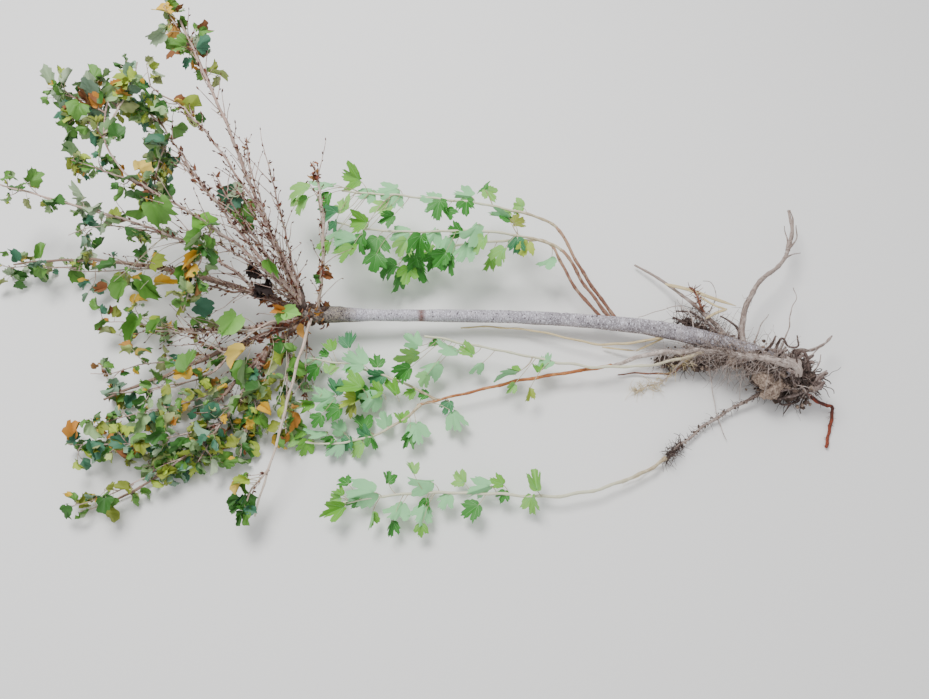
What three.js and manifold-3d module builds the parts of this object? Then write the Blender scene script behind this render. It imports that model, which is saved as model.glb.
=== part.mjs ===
// A small grafted soft-fruit standard, lifted out of the ground and lying on its side.
// One grey stem runs along X from the root crown (+X) to the graft, where the bush's crown (-X) forks.
// Leafy suckers spring from the roots. Units are millimetres and degrees, +Z is up, and the plant
// lies on Z = 0 with the middle of its box over the origin.
import * as THREE from 'three';
import { mergeVertices } from 'three/addons/utils/BufferGeometryUtils.js';
import Module from 'manifold-3d';

const wasm = await Module();
wasm.setup();

// Driving sizes
const TRUNK_FOOT = [698, -81, 62];   // where the middle of the stem enters the root crown
const SEAT_GAP = 0.3;                // clearance between two pieces that rest on each other
const SEAT_DEPTH = 12;               // how far a limb's end reaches into the leaves it carries
const LIMB_STEP = 42;                // longest straight piece of a bent limb
const MASS_STEP = 34;                // length of spine for each ring of a leaf mass
const FEWEST_LIMB_RINGS = 3;
const FEWEST_MASS_RINGS = 4;
const MASS_SIDES = 9;
const STOUT = 14;                    // limbs at least this thick are rounder
const STOUT_SIDES = 9;
const THIN_SIDES = 6;
const BLUNT = 0.8;                   // 1 makes a leaf mass an egg, and less makes its ends fuller
const LUMP = 0.2;                    // how uneven a leaf mass or a clod is, as a part of its width
const WELD = 1e-3;                   // corners closer than this are one corner
const LUMP_WAVES = [                 // waves round a mass, waves per millimetre along it, shift by seed
  { around: 2, along: 0.031, shift: 2.3 },
  { around: 3, along: -0.052, shift: 4.1 },
  { around: 0, along: 0.075, shift: 1.7 },
];

const FINISH = {
  trunk_bark: { color: 0x8d877b, roughness: 0.85 },
  cane_bark: { color: 0x8a6b58, roughness: 0.8 },
  shoot_bark: { color: 0xa98455, roughness: 0.65 },
  root_bark: { color: 0x6f5a49, roughness: 0.9 },
  soil: { color: 0x8c8272, roughness: 0.98 },
  crown_leaves: { color: 0x5f7f38, roughness: 0.6 },
  shoot_leaves: { color: 0x79ad4c, roughness: 0.55 },
};

// The stem leaves its foot and rises a little over its length. Its thickness by distance from the
// roots is the root flare, a long taper, then the graft's swelling just below the fork.
const TRUNK = {
  heading: 151,
  climb: -4,
  run: [[300, 23, 1], [300, 9, 6], [300, 1, 2]],
  thickness: [[0, 52], [60, 40], [160, 34], [420, 27], [780, 25], [825, 31], [870, 32], [900, 28]],
};

// Each limb leaves the middle of the piece it grows `on`, `at` so far along it and `lift` over it.
// It sets out at a compass `heading` (0 is +X, 90 is +Y) and a `climb`, and each stretch of its `run`
// is a length, a turn and a change of climb. `ends` is where its solid stops inside its leaves.
const LIMBS = [
  { name: 'root_tall', on: 'trunk', at: 86, lift: 2, heading: 99, climb: 15,
    run: [[148, -52, -18], [35, -7, -6], [174, 56, 8]], thick: [11, 5], finish: 'root_bark' },
  { name: 'root_lateral', on: 'root_crown', at: 60, lift: 32, heading: -178, climb: 23,
    run: [[114, -26, -55], [232, 54, 41]], thick: [17, 9], finish: 'root_bark' },
  { name: 'root_orange', on: 'root_crown', at: 86, lift: -22, heading: -59, climb: -13,
    run: [[77, 66, -7], [10, -110, 10], [77, -8, 12]], thick: [7, 3.5], finish: 'root_bark' },
  { name: 'root_low_left', on: 'root_crown', at: 38, lift: -16, heading: -102, climb: -22,
    run: [[69, -53, 11], [208, 21, 18]], thick: [11, 6], finish: 'root_bark' },
  { name: 'root_right', on: 'root_crown', at: 44, lift: 20, heading: 57, climb: 21,
    run: [[43, -43, -39], [88, 35, 2]], thick: [7, 3], finish: 'root_bark' },
  { name: 'root_upper_left', on: 'trunk', at: 95, heading: 121, climb: -4,
    run: [[265, 18, -11]], thick: [9, 4], finish: 'root_bark' },

  { name: 'shoot_upper_a_foot', on: 'trunk', at: 312, heading: 135, climb: 18,
    run: [[220, -19, 0]], thick: [7, 5.5], finish: 'shoot_bark' },
  { name: 'shoot_upper_a', on: 'shoot_upper_a_foot', at: 220, heading: 159, climb: 5,
    run: [[210, 18, -4], [210, -1, -4]], thick: [5, 3], ends: 94, finish: 'shoot_bark' },
  { name: 'shoot_upper_b_foot', on: 'trunk', at: 324, heading: 139, climb: 24,
    run: [[170, -18, -3]], thick: [7, 5.5], finish: 'shoot_bark' },
  { name: 'shoot_upper_b', on: 'shoot_upper_b_foot', at: 170, heading: 161, climb: 6,
    run: [[225, 25, -8], [225, -23, -2]], thick: [5, 3], ends: 118, finish: 'shoot_bark' },
  { name: 'shoot_upper_c_foot', on: 'trunk', at: 338, heading: 143, climb: 19,
    run: [[195, -36, -14]], thick: [6.5, 5.5], finish: 'shoot_bark' },
  { name: 'shoot_upper_c', on: 'shoot_upper_c_foot', at: 195, heading: 179, climb: -3,
    run: [[295, 16, -6]], thick: [5, 3], ends: 88, finish: 'shoot_bark' },
  { name: 'shoot_straw', on: 'trunk', at: 212, lift: -6, heading: -157, climb: -3,
    run: [[200, -39, 0], [205, 21, 0]], thick: [5, 3], finish: 'shoot_bark' },
  { name: 'shoot_mid', on: 'root_lateral', at: 166, heading: -159, climb: -5,
    run: [[289, -33, 5], [232, 6, 4]], thick: [6, 4], ends: 300, finish: 'shoot_bark' },
  { name: 'shoot_low', on: 'root_lateral', at: 340, heading: -170, climb: 1,
    run: [[365, 8, -3]], thick: [8, 5.5], ends: 365, finish: 'shoot_bark' },
  { name: 'shoot_low_branch_near', on: 'shoot_low', at: 360, heading: -132, climb: -4,
    run: [[225, -57, 0]], thick: [4.5, 3], ends: 60, finish: 'shoot_bark' },
  { name: 'shoot_low_branch_far', on: 'shoot_low', at: 330, heading: 152, climb: 6,
    run: [[250, 22, -10]], thick: [4.5, 3], ends: 120, finish: 'shoot_bark' },
  { name: 'shoot_bottom', on: 'root_low_left', at: 275, heading: -144, climb: 6,
    run: [[285, -39, -5], [295, 14, -2]], thick: [6, 3.5], ends: 225, finish: 'shoot_bark' },

  { name: 'cane_dry_down', on: 'trunk', at: 886, lift: 4, heading: -93, climb: 22,
    run: [[200, -6, -30], [185, -8, -16]], thick: [8, 4], ends: 305, finish: 'cane_bark' },
  { name: 'cane_dry_right', on: 'trunk', at: 880, lift: 2, heading: 65, climb: 59,
    run: [[280, 44, -32]], thick: [7, 3.5], finish: 'cane_bark' },
  { name: 'cane_top', on: 'trunk', at: 892, heading: 125, climb: 44,
    run: [[265, -11, 4], [260, 7, -12]], thick: [11, 5], ends: 432, finish: 'cane_bark' },
  { name: 'cane_top_inner', on: 'trunk', at: 897, lift: 4, heading: 113, climb: 55,
    run: [[405, 28, -22]], thick: [9, 5], finish: 'cane_bark' },
  { name: 'cane_upper', on: 'trunk', at: 890, lift: 2, heading: 146, climb: 51,
    run: [[425, -21, -40]], thick: [10, 5], ends: 402, finish: 'cane_bark' },
  { name: 'cane_leafy', on: 'trunk', at: 897, heading: 137, climb: 41,
    run: [[365, 44, 8]], thick: [9, 5], finish: 'cane_bark' },
  { name: 'cane_far', on: 'cane_leafy', at: 362, heading: 150, climb: 14,
    run: [[165, -68, -6]], thick: [5, 4], finish: 'cane_bark' },
  { name: 'bough_left', on: 'trunk', at: 899, heading: 164, climb: 21,
    run: [[290, 4, -27], [295, 16, -5]], thick: [13, 6], ends: 268, finish: 'cane_bark' },
  { name: 'cane_left_high', on: 'bough_left', at: 84, heading: 139, climb: 11,
    run: [[270, 28, -4], [270, -1, -5]], thick: [8, 5], ends: 202, finish: 'cane_bark' },
  { name: 'cane_left_low', on: 'trunk', at: 896, lift: -2, heading: -158, climb: 2,
    run: [[285, -29, -2]], thick: [9, 5], ends: 188, finish: 'cane_bark' },
  { name: 'bough_low', on: 'trunk', at: 892, lift: -4, heading: -154, climb: -4,
    run: [[390, 0, 3]], thick: [12, 5], ends: 172, finish: 'cane_bark' },
  { name: 'bough_low_dark', on: 'trunk', at: 884, lift: -4, heading: -146, climb: -9,
    run: [[270, 32, 14]], thick: [11, 5], ends: 205, finish: 'cane_bark' },
  { name: 'cane_bottom', on: 'bough_low_dark', at: 106, heading: -103, climb: 2,
    run: [[400, -57, -13]], thick: [8, 4], ends: 62, finish: 'cane_bark' },
];

// Each mass follows its own bent spine from a point of the piece it grows on, `wide` and `high` being
// its largest half sizes, and what would reach below the ground is pressed flat on it.
const MASSES = [
  { name: 'leaves_tip', on: 'cane_top', at: 425, heading: 110, climb: 20, run: [[150, 34, 6]],
    wide: 36, high: 38 },
  { name: 'leaves_high', on: 'cane_top_inner', at: 388, heading: 143, climb: 10, run: [[160, 10, -4]],
    wide: 44, high: 44 },
  { name: 'leaves_high_left', on: 'cane_far', at: 142, heading: 150, climb: 6, run: [[118, 14, -8]],
    wide: 44, high: 44 },
  { name: 'leaves_hanging', on: 'cane_upper', at: 395, heading: -108, climb: -14, run: [[138, 16, -14]],
    wide: 25, high: 28 },
  { name: 'leaves_raised', on: 'cane_leafy', at: 348, heading: 164, climb: 24, run: [[130, 10, -10]],
    wide: 42, high: 45 },
  { name: 'leaves_left_inner', on: 'cane_left_high', at: 196, heading: 161, climb: 2, run: [[215, 34, -10]],
    wide: 41, high: 52 },
  { name: 'leaves_left_tip', on: 'cane_left_high', at: 366, heading: 167, climb: 0, run: [[184, -5, 0]],
    wide: 40, high: 50 },
  { name: 'leaves_left_low', on: 'bough_left', at: 262, heading: 173, climb: -19, run: [[228, 4, 12]],
    wide: 50, high: 70 },
  { name: 'leaves_left_low_tip', on: 'bough_left', at: 470, lift: -30, heading: 178, climb: -4,
    run: [[156, 0, 4]], wide: 39, high: 62 },
  { name: 'leaves_middle', on: 'cane_left_low', at: 182, heading: 170, climb: -2, run: [[212, 12, -3]],
    wide: 51, high: 70 },
  { name: 'leaves_chain', on: 'cane_leafy', at: 228, heading: -114, climb: -24, run: [[155, 6, -6]],
    wide: 24, high: 30 },
  { name: 'leaves_near_a', on: 'bough_low', at: 164, heading: -163, climb: 1, run: [[252, -11, -4]],
    wide: 51, high: 64 },
  { name: 'leaves_near_b', on: 'bough_low_dark', at: 197, heading: -155, climb: 1, run: [[262, -10, -5]],
    wide: 50, high: 58 },
  { name: 'leaves_near_c', on: 'cane_bottom', at: 158, heading: -160, climb: 0, run: [[272, -20, 0]],
    wide: 42, high: 50 },
  { name: 'leaves_near_d', on: 'cane_bottom', at: 240, heading: -142, climb: 0, run: [[208, -24, 0]],
    wide: 28, high: 36 },
  { name: 'leaves_front', on: 'cane_bottom', at: 52, heading: -122, climb: -2, run: [[190, 14, 0]],
    wide: 54, high: 58 },
  { name: 'leaves_front_right', on: 'bough_low_dark', at: 58, heading: -84, climb: -6, run: [[200, -2, 4]],
    wide: 37, high: 46 },
  { name: 'leaves_tuft', on: 'cane_dry_down', at: 294, heading: -120, climb: -10, run: [[105, 10, 6]],
    wide: 25, high: 30 },

  { name: 'leaves_upper_a', on: 'shoot_upper_a', at: 88, heading: 172, climb: 2, run: [[414, 8, -4]],
    wide: 33, high: 30, finish: 'shoot_leaves' },
  { name: 'leaves_upper_b', on: 'shoot_upper_b', at: 112, heading: -178, climb: 1, run: [[362, -5, -4]],
    wide: 29, high: 28, finish: 'shoot_leaves' },
  { name: 'leaves_upper_c', on: 'shoot_upper_c', at: 82, heading: -167, climb: -12, run: [[256, 3, 4]],
    wide: 43, high: 60, finish: 'shoot_leaves' },
  { name: 'leaves_mid', on: 'shoot_mid', at: 292, heading: 172, climb: 0, run: [[278, 1, 0]],
    wide: 37, high: 34, finish: 'shoot_leaves' },
  { name: 'leaves_low_near', on: 'shoot_low_branch_near', at: 53, heading: -156, climb: -3,
    run: [[216, -25, 0]], wide: 29, high: 32, finish: 'shoot_leaves' },
  { name: 'leaves_low_middle', on: 'shoot_low', at: 358, heading: 174, climb: 2, run: [[206, 4, 0]],
    wide: 38, high: 36, finish: 'shoot_leaves' },
  { name: 'leaves_low_far', on: 'shoot_low_branch_far', at: 112, heading: 155, climb: 2,
    run: [[168, 27, -5]], wide: 33, high: 36, finish: 'shoot_leaves' },
  { name: 'leaves_bottom', on: 'shoot_bottom', at: 219, heading: -176, climb: 1, run: [[402, 3, -2]],
    wide: 42, high: 32, finish: 'shoot_leaves' },
];

const ROOT_CROWN = { name: 'root_crown', on: 'trunk', at: 58, heading: -24, climb: 2, run: [[106, -12, -6]],
  wide: 45, high: 38, finish: 'root_bark' };
const SOIL_CLOD = { name: 'soil_clod', on: 'trunk', at: 46, lift: -48, heading: -30, climb: 2,
  run: [[104, -6, 0]], wide: 48, high: 30, finish: 'soil' };

const radians = THREE.MathUtils.degToRad;
const paths = new Map();

// The middle line of a limb or mass: equal short steps whose direction turns evenly in each stretch.
function walk(start, heading, climb, run, step) {
  const points = [start.clone()];
  for (const [length, turn, rise] of run) {
    const count = Math.max(2, Math.ceil(length / step));
    for (let i = 0; i < count; i += 1) {
      const share = (i + 0.5) / count;
      const across = radians(heading + turn * share);
      const up = radians(climb + rise * share);
      const way = new THREE.Vector3(
        Math.cos(up) * Math.cos(across), Math.cos(up) * Math.sin(across), Math.sin(up));
      points.push(points.at(-1).clone().addScaledVector(way, length / count));
    }
    heading += turn;
    climb += rise;
  }
  return points;
}

// A path knows its point and its two cross directions at any distance from its start.
class Path {
  constructor(points) {
    this.points = points;
    this.marks = [0];
    for (let i = 1; i < points.length; i += 1) {
      this.marks.push(this.marks[i - 1] + points[i].distanceTo(points[i - 1]));
    }
    this.length = this.marks.at(-1);
  }

  frame(distance) {
    const last = this.points.length - 2;
    let i = 0;
    while (i < last && this.marks[i + 1] < distance) {
      i += 1;
    }
    const share = (distance - this.marks[i]) / (this.marks[i + 1] - this.marks[i]);
    const point = this.points[i].clone().lerp(this.points[i + 1], share);
    const before = this.points[Math.max(i - (share < 0.5 ? 1 : 0), 0)];
    const after = this.points[Math.min(i + (share < 0.5 ? 1 : 2), last + 1)];
    const along = after.clone().sub(before).normalize();
    const side = along.clone().cross(new THREE.Vector3(0, 0, 1)).normalize();
    return { point, side, up: side.clone().cross(along) };
  }
}

// Where a piece starts: on the piece that carries it, or at the stem's foot.
function startOf({ on, at = 0, lift = 0 }) {
  const { point } = paths.get(on).frame(at);
  return point.add(new THREE.Vector3(0, 0, lift));
}

function pathOf(piece, step) {
  const path = new Path(walk(startOf(piece), piece.heading, piece.climb, piece.run, step));
  paths.set(piece.name, path);
  return path;
}

// Straight interpolation in a list of [distance, value] pairs, level past either end.
function between(pairs, distance) {
  const held = THREE.MathUtils.clamp(distance, pairs[0][0], pairs.at(-1)[0]);
  const i = Math.max(1, pairs.findIndex(([mark]) => mark >= held));
  const [[near, low], [far, high]] = [pairs[i - 1], pairs[i]];
  return low + (high - low) * (held - near) / (far - near);
}

// A turned form whose axis is Y, bent so that its axis lies on a path; `swell` scales each point's
// distance from the axis by its place along and round the path.
function bend(geometry, path, swell = () => [1, 1]) {
  const places = geometry.getAttribute('position');
  for (let i = 0; i < places.count; i += 1) {
    const [x, y, z] = [places.getX(i), places.getY(i), places.getZ(i)];
    const { point, side, up } = path.frame(y);
    const [wide, high] = swell(y, Math.atan2(z, x));
    point.addScaledVector(side, x * wide).addScaledVector(up, z * high);
    places.setXYZ(i, point.x, point.y, point.z);
  }
  return geometry;
}

function toSolid(geometry) {
  geometry.deleteAttribute('normal');
  geometry.deleteAttribute('uv');
  const merged = mergeVertices(geometry, WELD);
  const corners = merged.getIndex().array;
  const faces = [];
  for (let i = 0; i < corners.length; i += 3) {
    const [a, b, c] = [corners[i], corners[i + 1], corners[i + 2]];
    if (a !== b && b !== c && c !== a) {
      faces.push(a, b, c);
    }
  }
  return new wasm.Manifold(new wasm.Mesh({
    numProp: 3,
    vertProperties: new Float32Array(merged.getAttribute('position').array),
    triVerts: new Uint32Array(faces),
  }));
}

function toMesh(solid, name, finish) {
  const { vertProperties, triVerts } = solid.getMesh();
  const geometry = new THREE.BufferGeometry();
  geometry.setAttribute('position', new THREE.BufferAttribute(vertProperties, 3));
  geometry.setIndex(new THREE.BufferAttribute(triVerts, 1));
  geometry.computeVertexNormals();
  const mesh = new THREE.Mesh(geometry, new THREE.MeshStandardMaterial({ metalness: 0, ...FINISH[finish] }));
  mesh.name = name;
  return mesh;
}

// A limb's solid: a turned taper, a little fatter by `extra` where a neighbour is cut to clear it.
function limbSolid(path, thickness, ends, extra) {
  const rings = Math.max(FEWEST_LIMB_RINGS, Math.ceil(ends / LIMB_STEP) + 1);
  const profile = [new THREE.Vector2(0, -extra)];
  for (let i = 0; i < rings; i += 1) {
    const along = (ends + 2 * extra) * i / (rings - 1) - extra;
    profile.push(new THREE.Vector2(between(thickness, along) / 2 + extra, along));
  }
  profile.push(new THREE.Vector2(0, ends + extra));
  const sides = thickness[0][1] >= STOUT ? STOUT_SIDES : THIN_SIDES;
  return toSolid(bend(new THREE.LatheGeometry(profile, sides), path));
}

// A smooth unevenness between -1 and 1, different for each seed.
function uneven(along, around, seed) {
  const heights = LUMP_WAVES.map((wave) => (
    Math.sin(wave.around * around + wave.along * along + wave.shift * seed)));
  return heights.reduce((sum, height) => sum + height) / heights.length;
}

// A mass's solid: an egg bent along its spine, lumpy, and pressed flat where it meets the ground.
function massSolid(path, { wide, high }, seed, extra) {
  const rings = Math.max(FEWEST_MASS_RINGS, Math.ceil(path.length / MASS_STEP));
  const profile = [new THREE.Vector2(0, -extra)];
  for (let i = 1; i < rings; i += 1) {
    const turn = Math.PI * i / rings;
    profile.push(new THREE.Vector2(Math.sin(turn) ** BLUNT, path.length * (1 - Math.cos(turn)) / 2));
  }
  profile.push(new THREE.Vector2(0, path.length + extra));
  const geometry = new THREE.LatheGeometry(profile, MASS_SIDES);
  bend(geometry, path, (along, around) => {
    const lump = 1 + LUMP * uneven(along, around, seed);
    return [wide * lump + extra, high * lump + extra];
  });
  const places = geometry.getAttribute('position');
  for (let i = 0; i < places.count; i += 1) {
    places.setZ(i, Math.max(places.getZ(i), 0));
  }
  return toSolid(geometry);
}

// Pieces are made in order, and each one is cut to clear those made before it.
const group = new THREE.Group();
const cleared = [];

function overlapsBox(one, other) {
  const [a, b] = [one.boundingBox(), other.boundingBox()];
  return [0, 1, 2].every((i) => a.min[i] <= b.max[i] && b.min[i] <= a.max[i]);
}

function place(name, finish, make) {
  let solid = make(0);
  for (const other of cleared) {
    if (overlapsBox(solid, other)) {
      solid = solid.subtract(other);
    }
  }
  const largest = solid.decompose().sort((a, b) => b.volume() - a.volume())[0];
  group.add(toMesh(largest, name, finish));
  cleared.push(make(SEAT_GAP));
}

function placeLimb(limb) {
  const path = pathOf(limb, LIMB_STEP / 2);
  const [base, tip] = limb.thick;
  const ends = limb.ends ? Math.min(limb.ends + SEAT_DEPTH, path.length) : path.length;
  const thickness = [[0, base], [path.length, tip]];
  place(limb.name, limb.finish, (extra) => limbSolid(path, thickness, ends, extra));
}

// A mass's place in its list is its seed.
function placeMass(mass, seed) {
  const path = pathOf(mass, MASS_STEP / 2);
  const finish = mass.finish ?? 'crown_leaves';
  place(mass.name, finish, (extra) => massSolid(path, mass, seed, extra));
}

function placeTrunk() {
  const foot = new THREE.Vector3(...TRUNK_FOOT);
  const path = new Path(walk(foot, TRUNK.heading, TRUNK.climb, TRUNK.run, LIMB_STEP / 2));
  paths.set('trunk', path);
  place('trunk', 'trunk_bark', (extra) => limbSolid(path, TRUNK.thickness, path.length, extra));
}

placeTrunk();
[ROOT_CROWN, SOIL_CLOD].forEach(placeMass);
LIMBS.forEach(placeLimb);
MASSES.forEach(placeMass);

export default group;
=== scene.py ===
"""A small grafted berry bush, lifted out of the ground and lying on its side.

One grey stem runs from the root crown to the graft, where the leafy crown forks. Long leafy suckers
spring from the roots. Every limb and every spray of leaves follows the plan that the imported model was
built on. Sizes are in metres and +Z is up.
"""

import logging
import math
from collections.abc import Callable
from dataclasses import KW_ONLY, dataclass, field
from enum import Enum
from typing import Any

import bpy
import numpy as np
from mathutils import Matrix, Vector


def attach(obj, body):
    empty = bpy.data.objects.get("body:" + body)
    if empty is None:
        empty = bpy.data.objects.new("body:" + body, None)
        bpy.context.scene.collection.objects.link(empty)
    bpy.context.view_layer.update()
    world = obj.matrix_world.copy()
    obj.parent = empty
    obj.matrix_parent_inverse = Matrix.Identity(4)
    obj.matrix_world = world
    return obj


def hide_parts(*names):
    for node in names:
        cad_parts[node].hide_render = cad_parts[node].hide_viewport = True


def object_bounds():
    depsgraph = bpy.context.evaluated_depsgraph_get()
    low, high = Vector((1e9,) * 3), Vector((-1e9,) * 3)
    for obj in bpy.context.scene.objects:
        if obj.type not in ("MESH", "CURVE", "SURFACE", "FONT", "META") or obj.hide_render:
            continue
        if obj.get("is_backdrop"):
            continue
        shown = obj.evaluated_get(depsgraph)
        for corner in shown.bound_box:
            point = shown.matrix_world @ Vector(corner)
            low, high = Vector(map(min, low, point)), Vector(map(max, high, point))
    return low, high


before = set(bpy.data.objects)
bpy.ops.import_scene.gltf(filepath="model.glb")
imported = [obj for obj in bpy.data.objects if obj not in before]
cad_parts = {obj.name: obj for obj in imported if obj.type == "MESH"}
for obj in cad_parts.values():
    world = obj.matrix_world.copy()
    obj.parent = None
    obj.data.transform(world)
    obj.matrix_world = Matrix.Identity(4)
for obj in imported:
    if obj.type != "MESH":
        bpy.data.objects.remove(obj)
cad_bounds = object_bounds()

Array = np.ndarray
Pair = tuple[float, float]               # both ends of a range or of a taper, or two values of a kind
Triple = tuple[float, float, float]
Scale = Triple                           # what each axis is multiplied by
Noise = Triple                           # a noise's scale to the metre, its detail and its roughness
Layers = tuple[tuple[int, float, float], ...]     # each noise's seed, height and size
Run = tuple[Triple, ...]                 # each stretch's length, turn and change of climb, in degrees
log = logging.getLogger("bush")

UP = np.array([0.0, 0.0, 1.0])
ALONG = np.array([1.0, 0.0, 0.0])
PLAN_STEP = 0.005        # length of each straight piece of a limb's middle line
GROUND_GIVE = 0.004      # what would lie lower than this is pressed together above the ground
GOLDEN_ANGLE = math.radians(137.5)
TINY = 1e-9
LATTICE_FACTORS = np.array([73856093, 19349663, 83492791])     # these scatter the values of the noise
SEED_FACTOR = 2654435
STIR_FACTOR = 1274126177
STIR_SHIFT = 13
STIR_MASK = 0x7FFFFFFF
LATTICE_VALUES = 20011   # how many different values the noise has at its corners
FOOT_CAP = 0.4           # how far a skin's closed ends stand out, in radii
TIP_CAP = 0.6
UNDER_MATT = 0.2         # how much more matt the under face of a leaf is
UPRIGHT = 0.9            # a line that climbs more than this needs a level axis of its own
SEED = 7                 # of what is dealt at random, apart from the limbs' own relief


def unit(vectors: Array) -> Array:
    """Each vector divided by its own length."""
    return vectors / np.maximum(np.linalg.norm(vectors, axis=-1, keepdims=True), TINY)


def round_turn(count: int) -> Array:
    """So many even angles once round, in radians."""
    return np.arange(count) * 2 * np.pi / count


def straightened(radius: Array, turn: Array, distance: Array) -> Array:
    """Each point of a limb's rings as if the limb ran straight up: (r cos a, r sin a, distance).

    Args:
        radius: the limb's radius at each ring.
        turn: angles round a ring.
        distance: each ring's distance from the foot.

    Returns:
        The places, (rings, sides, 3).
    """
    radius = radius[:, None]
    places = np.broadcast_arrays(radius * np.cos(turn), radius * np.sin(turn), distance[:, None])
    return np.stack(places, axis=-1)


def pressed(points: Array) -> Array:
    """Points that would sink below the ground, pressed together just above it.

    A height z under GROUND_GIVE becomes GROUND_GIVE * exp(z / GROUND_GIVE - 1), which never reaches 0
    and keeps what lay above above.

    Args:
        points: places, with their three coordinates last.

    Returns:
        The places above the ground.
    """
    found = points.copy()
    height = points[..., 2]
    low = np.minimum(height, GROUND_GIVE)
    found[..., 2] = np.where(height < GROUND_GIVE, GROUND_GIVE * np.exp(low / GROUND_GIVE - 1), height)
    return found


def tint_of(hexadecimal: str) -> tuple[float, float, float, float]:
    """A screen colour such as "8a6b58" as the linear colour that a shader takes, by the sRGB curve.

    Args:
        hexadecimal: two digits each for red, green and blue.

    Returns:
        Red, green, blue and an alpha of 1.
    """
    parts = [int(hexadecimal[i:i + 2], 16) / 255 for i in (0, 2, 4)]
    linear = [c / 12.92 if c <= 0.04045 else ((c + 0.055) / 1.055) ** 2.4 for c in parts]
    return (linear[0], linear[1], linear[2], 1.0)


@dataclass(frozen=True)
class Unevenness:
    """Smooth seeded noise through space, between -1 and 1."""

    seed: int

    def __call__(self, points: Array, size: float) -> Array:
        """The noise at each point: random values at the corners of a lattice, blended between them.

        Along each axis the blend goes from one corner to the next as 3t^2 - 2t^3.

        Args:
            points: places, with their three coordinates last.
            size: width of a lattice cell.

        Returns:
            One value for each point.
        """
        place = points / size
        cell = np.floor(place).astype(np.int64)
        share = place - cell
        share = share * share * (3 - 2 * share)
        total = np.zeros(points.shape[:-1])
        for corner in np.ndindex(2, 2, 2):
            offset = np.array(corner)
            weight = np.where(offset == 1, share, 1 - share).prod(axis=-1)
            total += weight * self._lattice(cell + offset)
        return total

    def _lattice(self, cell: Array) -> Array:
        """A repeatable random value for each lattice corner.

        Its whole-number place and the seed, each times a large number, are mixed by exclusive or.

        Args:
            cell: whole numbers, three to a corner.

        Returns:
            A value from -1 to 1 for each corner.
        """
        mixed = np.bitwise_xor.reduce(cell * LATTICE_FACTORS, axis=-1) ^ self.seed * SEED_FACTOR
        mixed = (mixed ^ (mixed >> STIR_SHIFT)) * STIR_FACTOR & STIR_MASK
        return mixed % LATTICE_VALUES / (LATTICE_VALUES // 2) - 1


def uneven(points: Array, layers: Layers) -> Array:
    """The sum of several noises at each point, each as high as its layer says."""
    return sum(height * Unevenness(seed)(points, size) for seed, height, size in layers)


class Path:
    """A bent line, which knows its place and cross directions at any distance from its start."""

    def __init__(self, points: Array) -> None:
        """Measures the line through the given points.

        Args:
            points: its points, one to a row.
        """
        self.points = points
        steps = np.linalg.norm(np.diff(points, axis=0), axis=1)
        self.marks = np.concatenate([[0.0], np.cumsum(steps)])
        self.length = float(self.marks[-1])

    def at(self, distance: Array | float) -> Array:
        """The points so far along the line, level past either end."""
        held = np.asarray(distance, float)
        return np.stack([np.interp(held, self.marks, self.points[:, i]) for i in range(3)], axis=-1)

    def way(self, distance: Array | float) -> Array:
        """The line's direction so far along it, from a short piece on both sides.

        Args:
            distance: metres from the start.

        Returns:
            Directions of length 1.
        """
        held = np.clip(np.asarray(distance, float), 0, self.length)
        before = self.at(np.maximum(held - PLAN_STEP, 0))
        after = self.at(np.minimum(held + PLAN_STEP, self.length))
        return unit(after - before)

    def across(self, distance: Array | float) -> tuple[Array, Array]:
        """The level direction across the line, and the one at right angles to both.

        Args:
            distance: metres from the start.

        Returns:
            Both directions, of length 1.
        """
        way = self.way(distance)
        side = unit(np.cross(way, UP))
        return side, np.cross(side, way)

    def out(self, distance: Array, roll: Array) -> Array:
        """The directions out from the line at such distances, each at its own angle round it."""
        side, over = self.across(distance)
        return np.cos(roll)[:, None] * side + np.sin(roll)[:, None] * over

    def nearest(self, point: Array) -> float:
        """How far along the line its nearest place to a point is."""
        return float(self.marks[np.linalg.norm(self.points - point, axis=1).argmin()])


def walk(start: Array, heading: float, climb: float, run: Run) -> Array:
    """The middle line of a limb: short equal steps whose direction turns evenly in each stretch.

    Args:
        start: its first point.
        heading: compass direction in degrees, 0 along +X and 90 along +Y.
        climb: degrees above the level.
        run: a length, a turn and a change of climb for each stretch.

    Returns:
        The points, one to a row.
    """
    steps = []
    for length, turn, rise in run:
        count = max(2, math.ceil(length / PLAN_STEP))
        share = (np.arange(count) + 0.5) / count
        level = np.radians(heading + turn * share)
        tilt = np.radians(climb + rise * share)
        way = np.stack([np.cos(tilt) * np.cos(level), np.cos(tilt) * np.sin(level), np.sin(tilt)], axis=-1)
        steps.append(way * length / count)
        heading += turn
        climb += rise
    return start + np.concatenate([np.zeros((1, 3)), np.cumsum(np.concatenate(steps), axis=0)])


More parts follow.
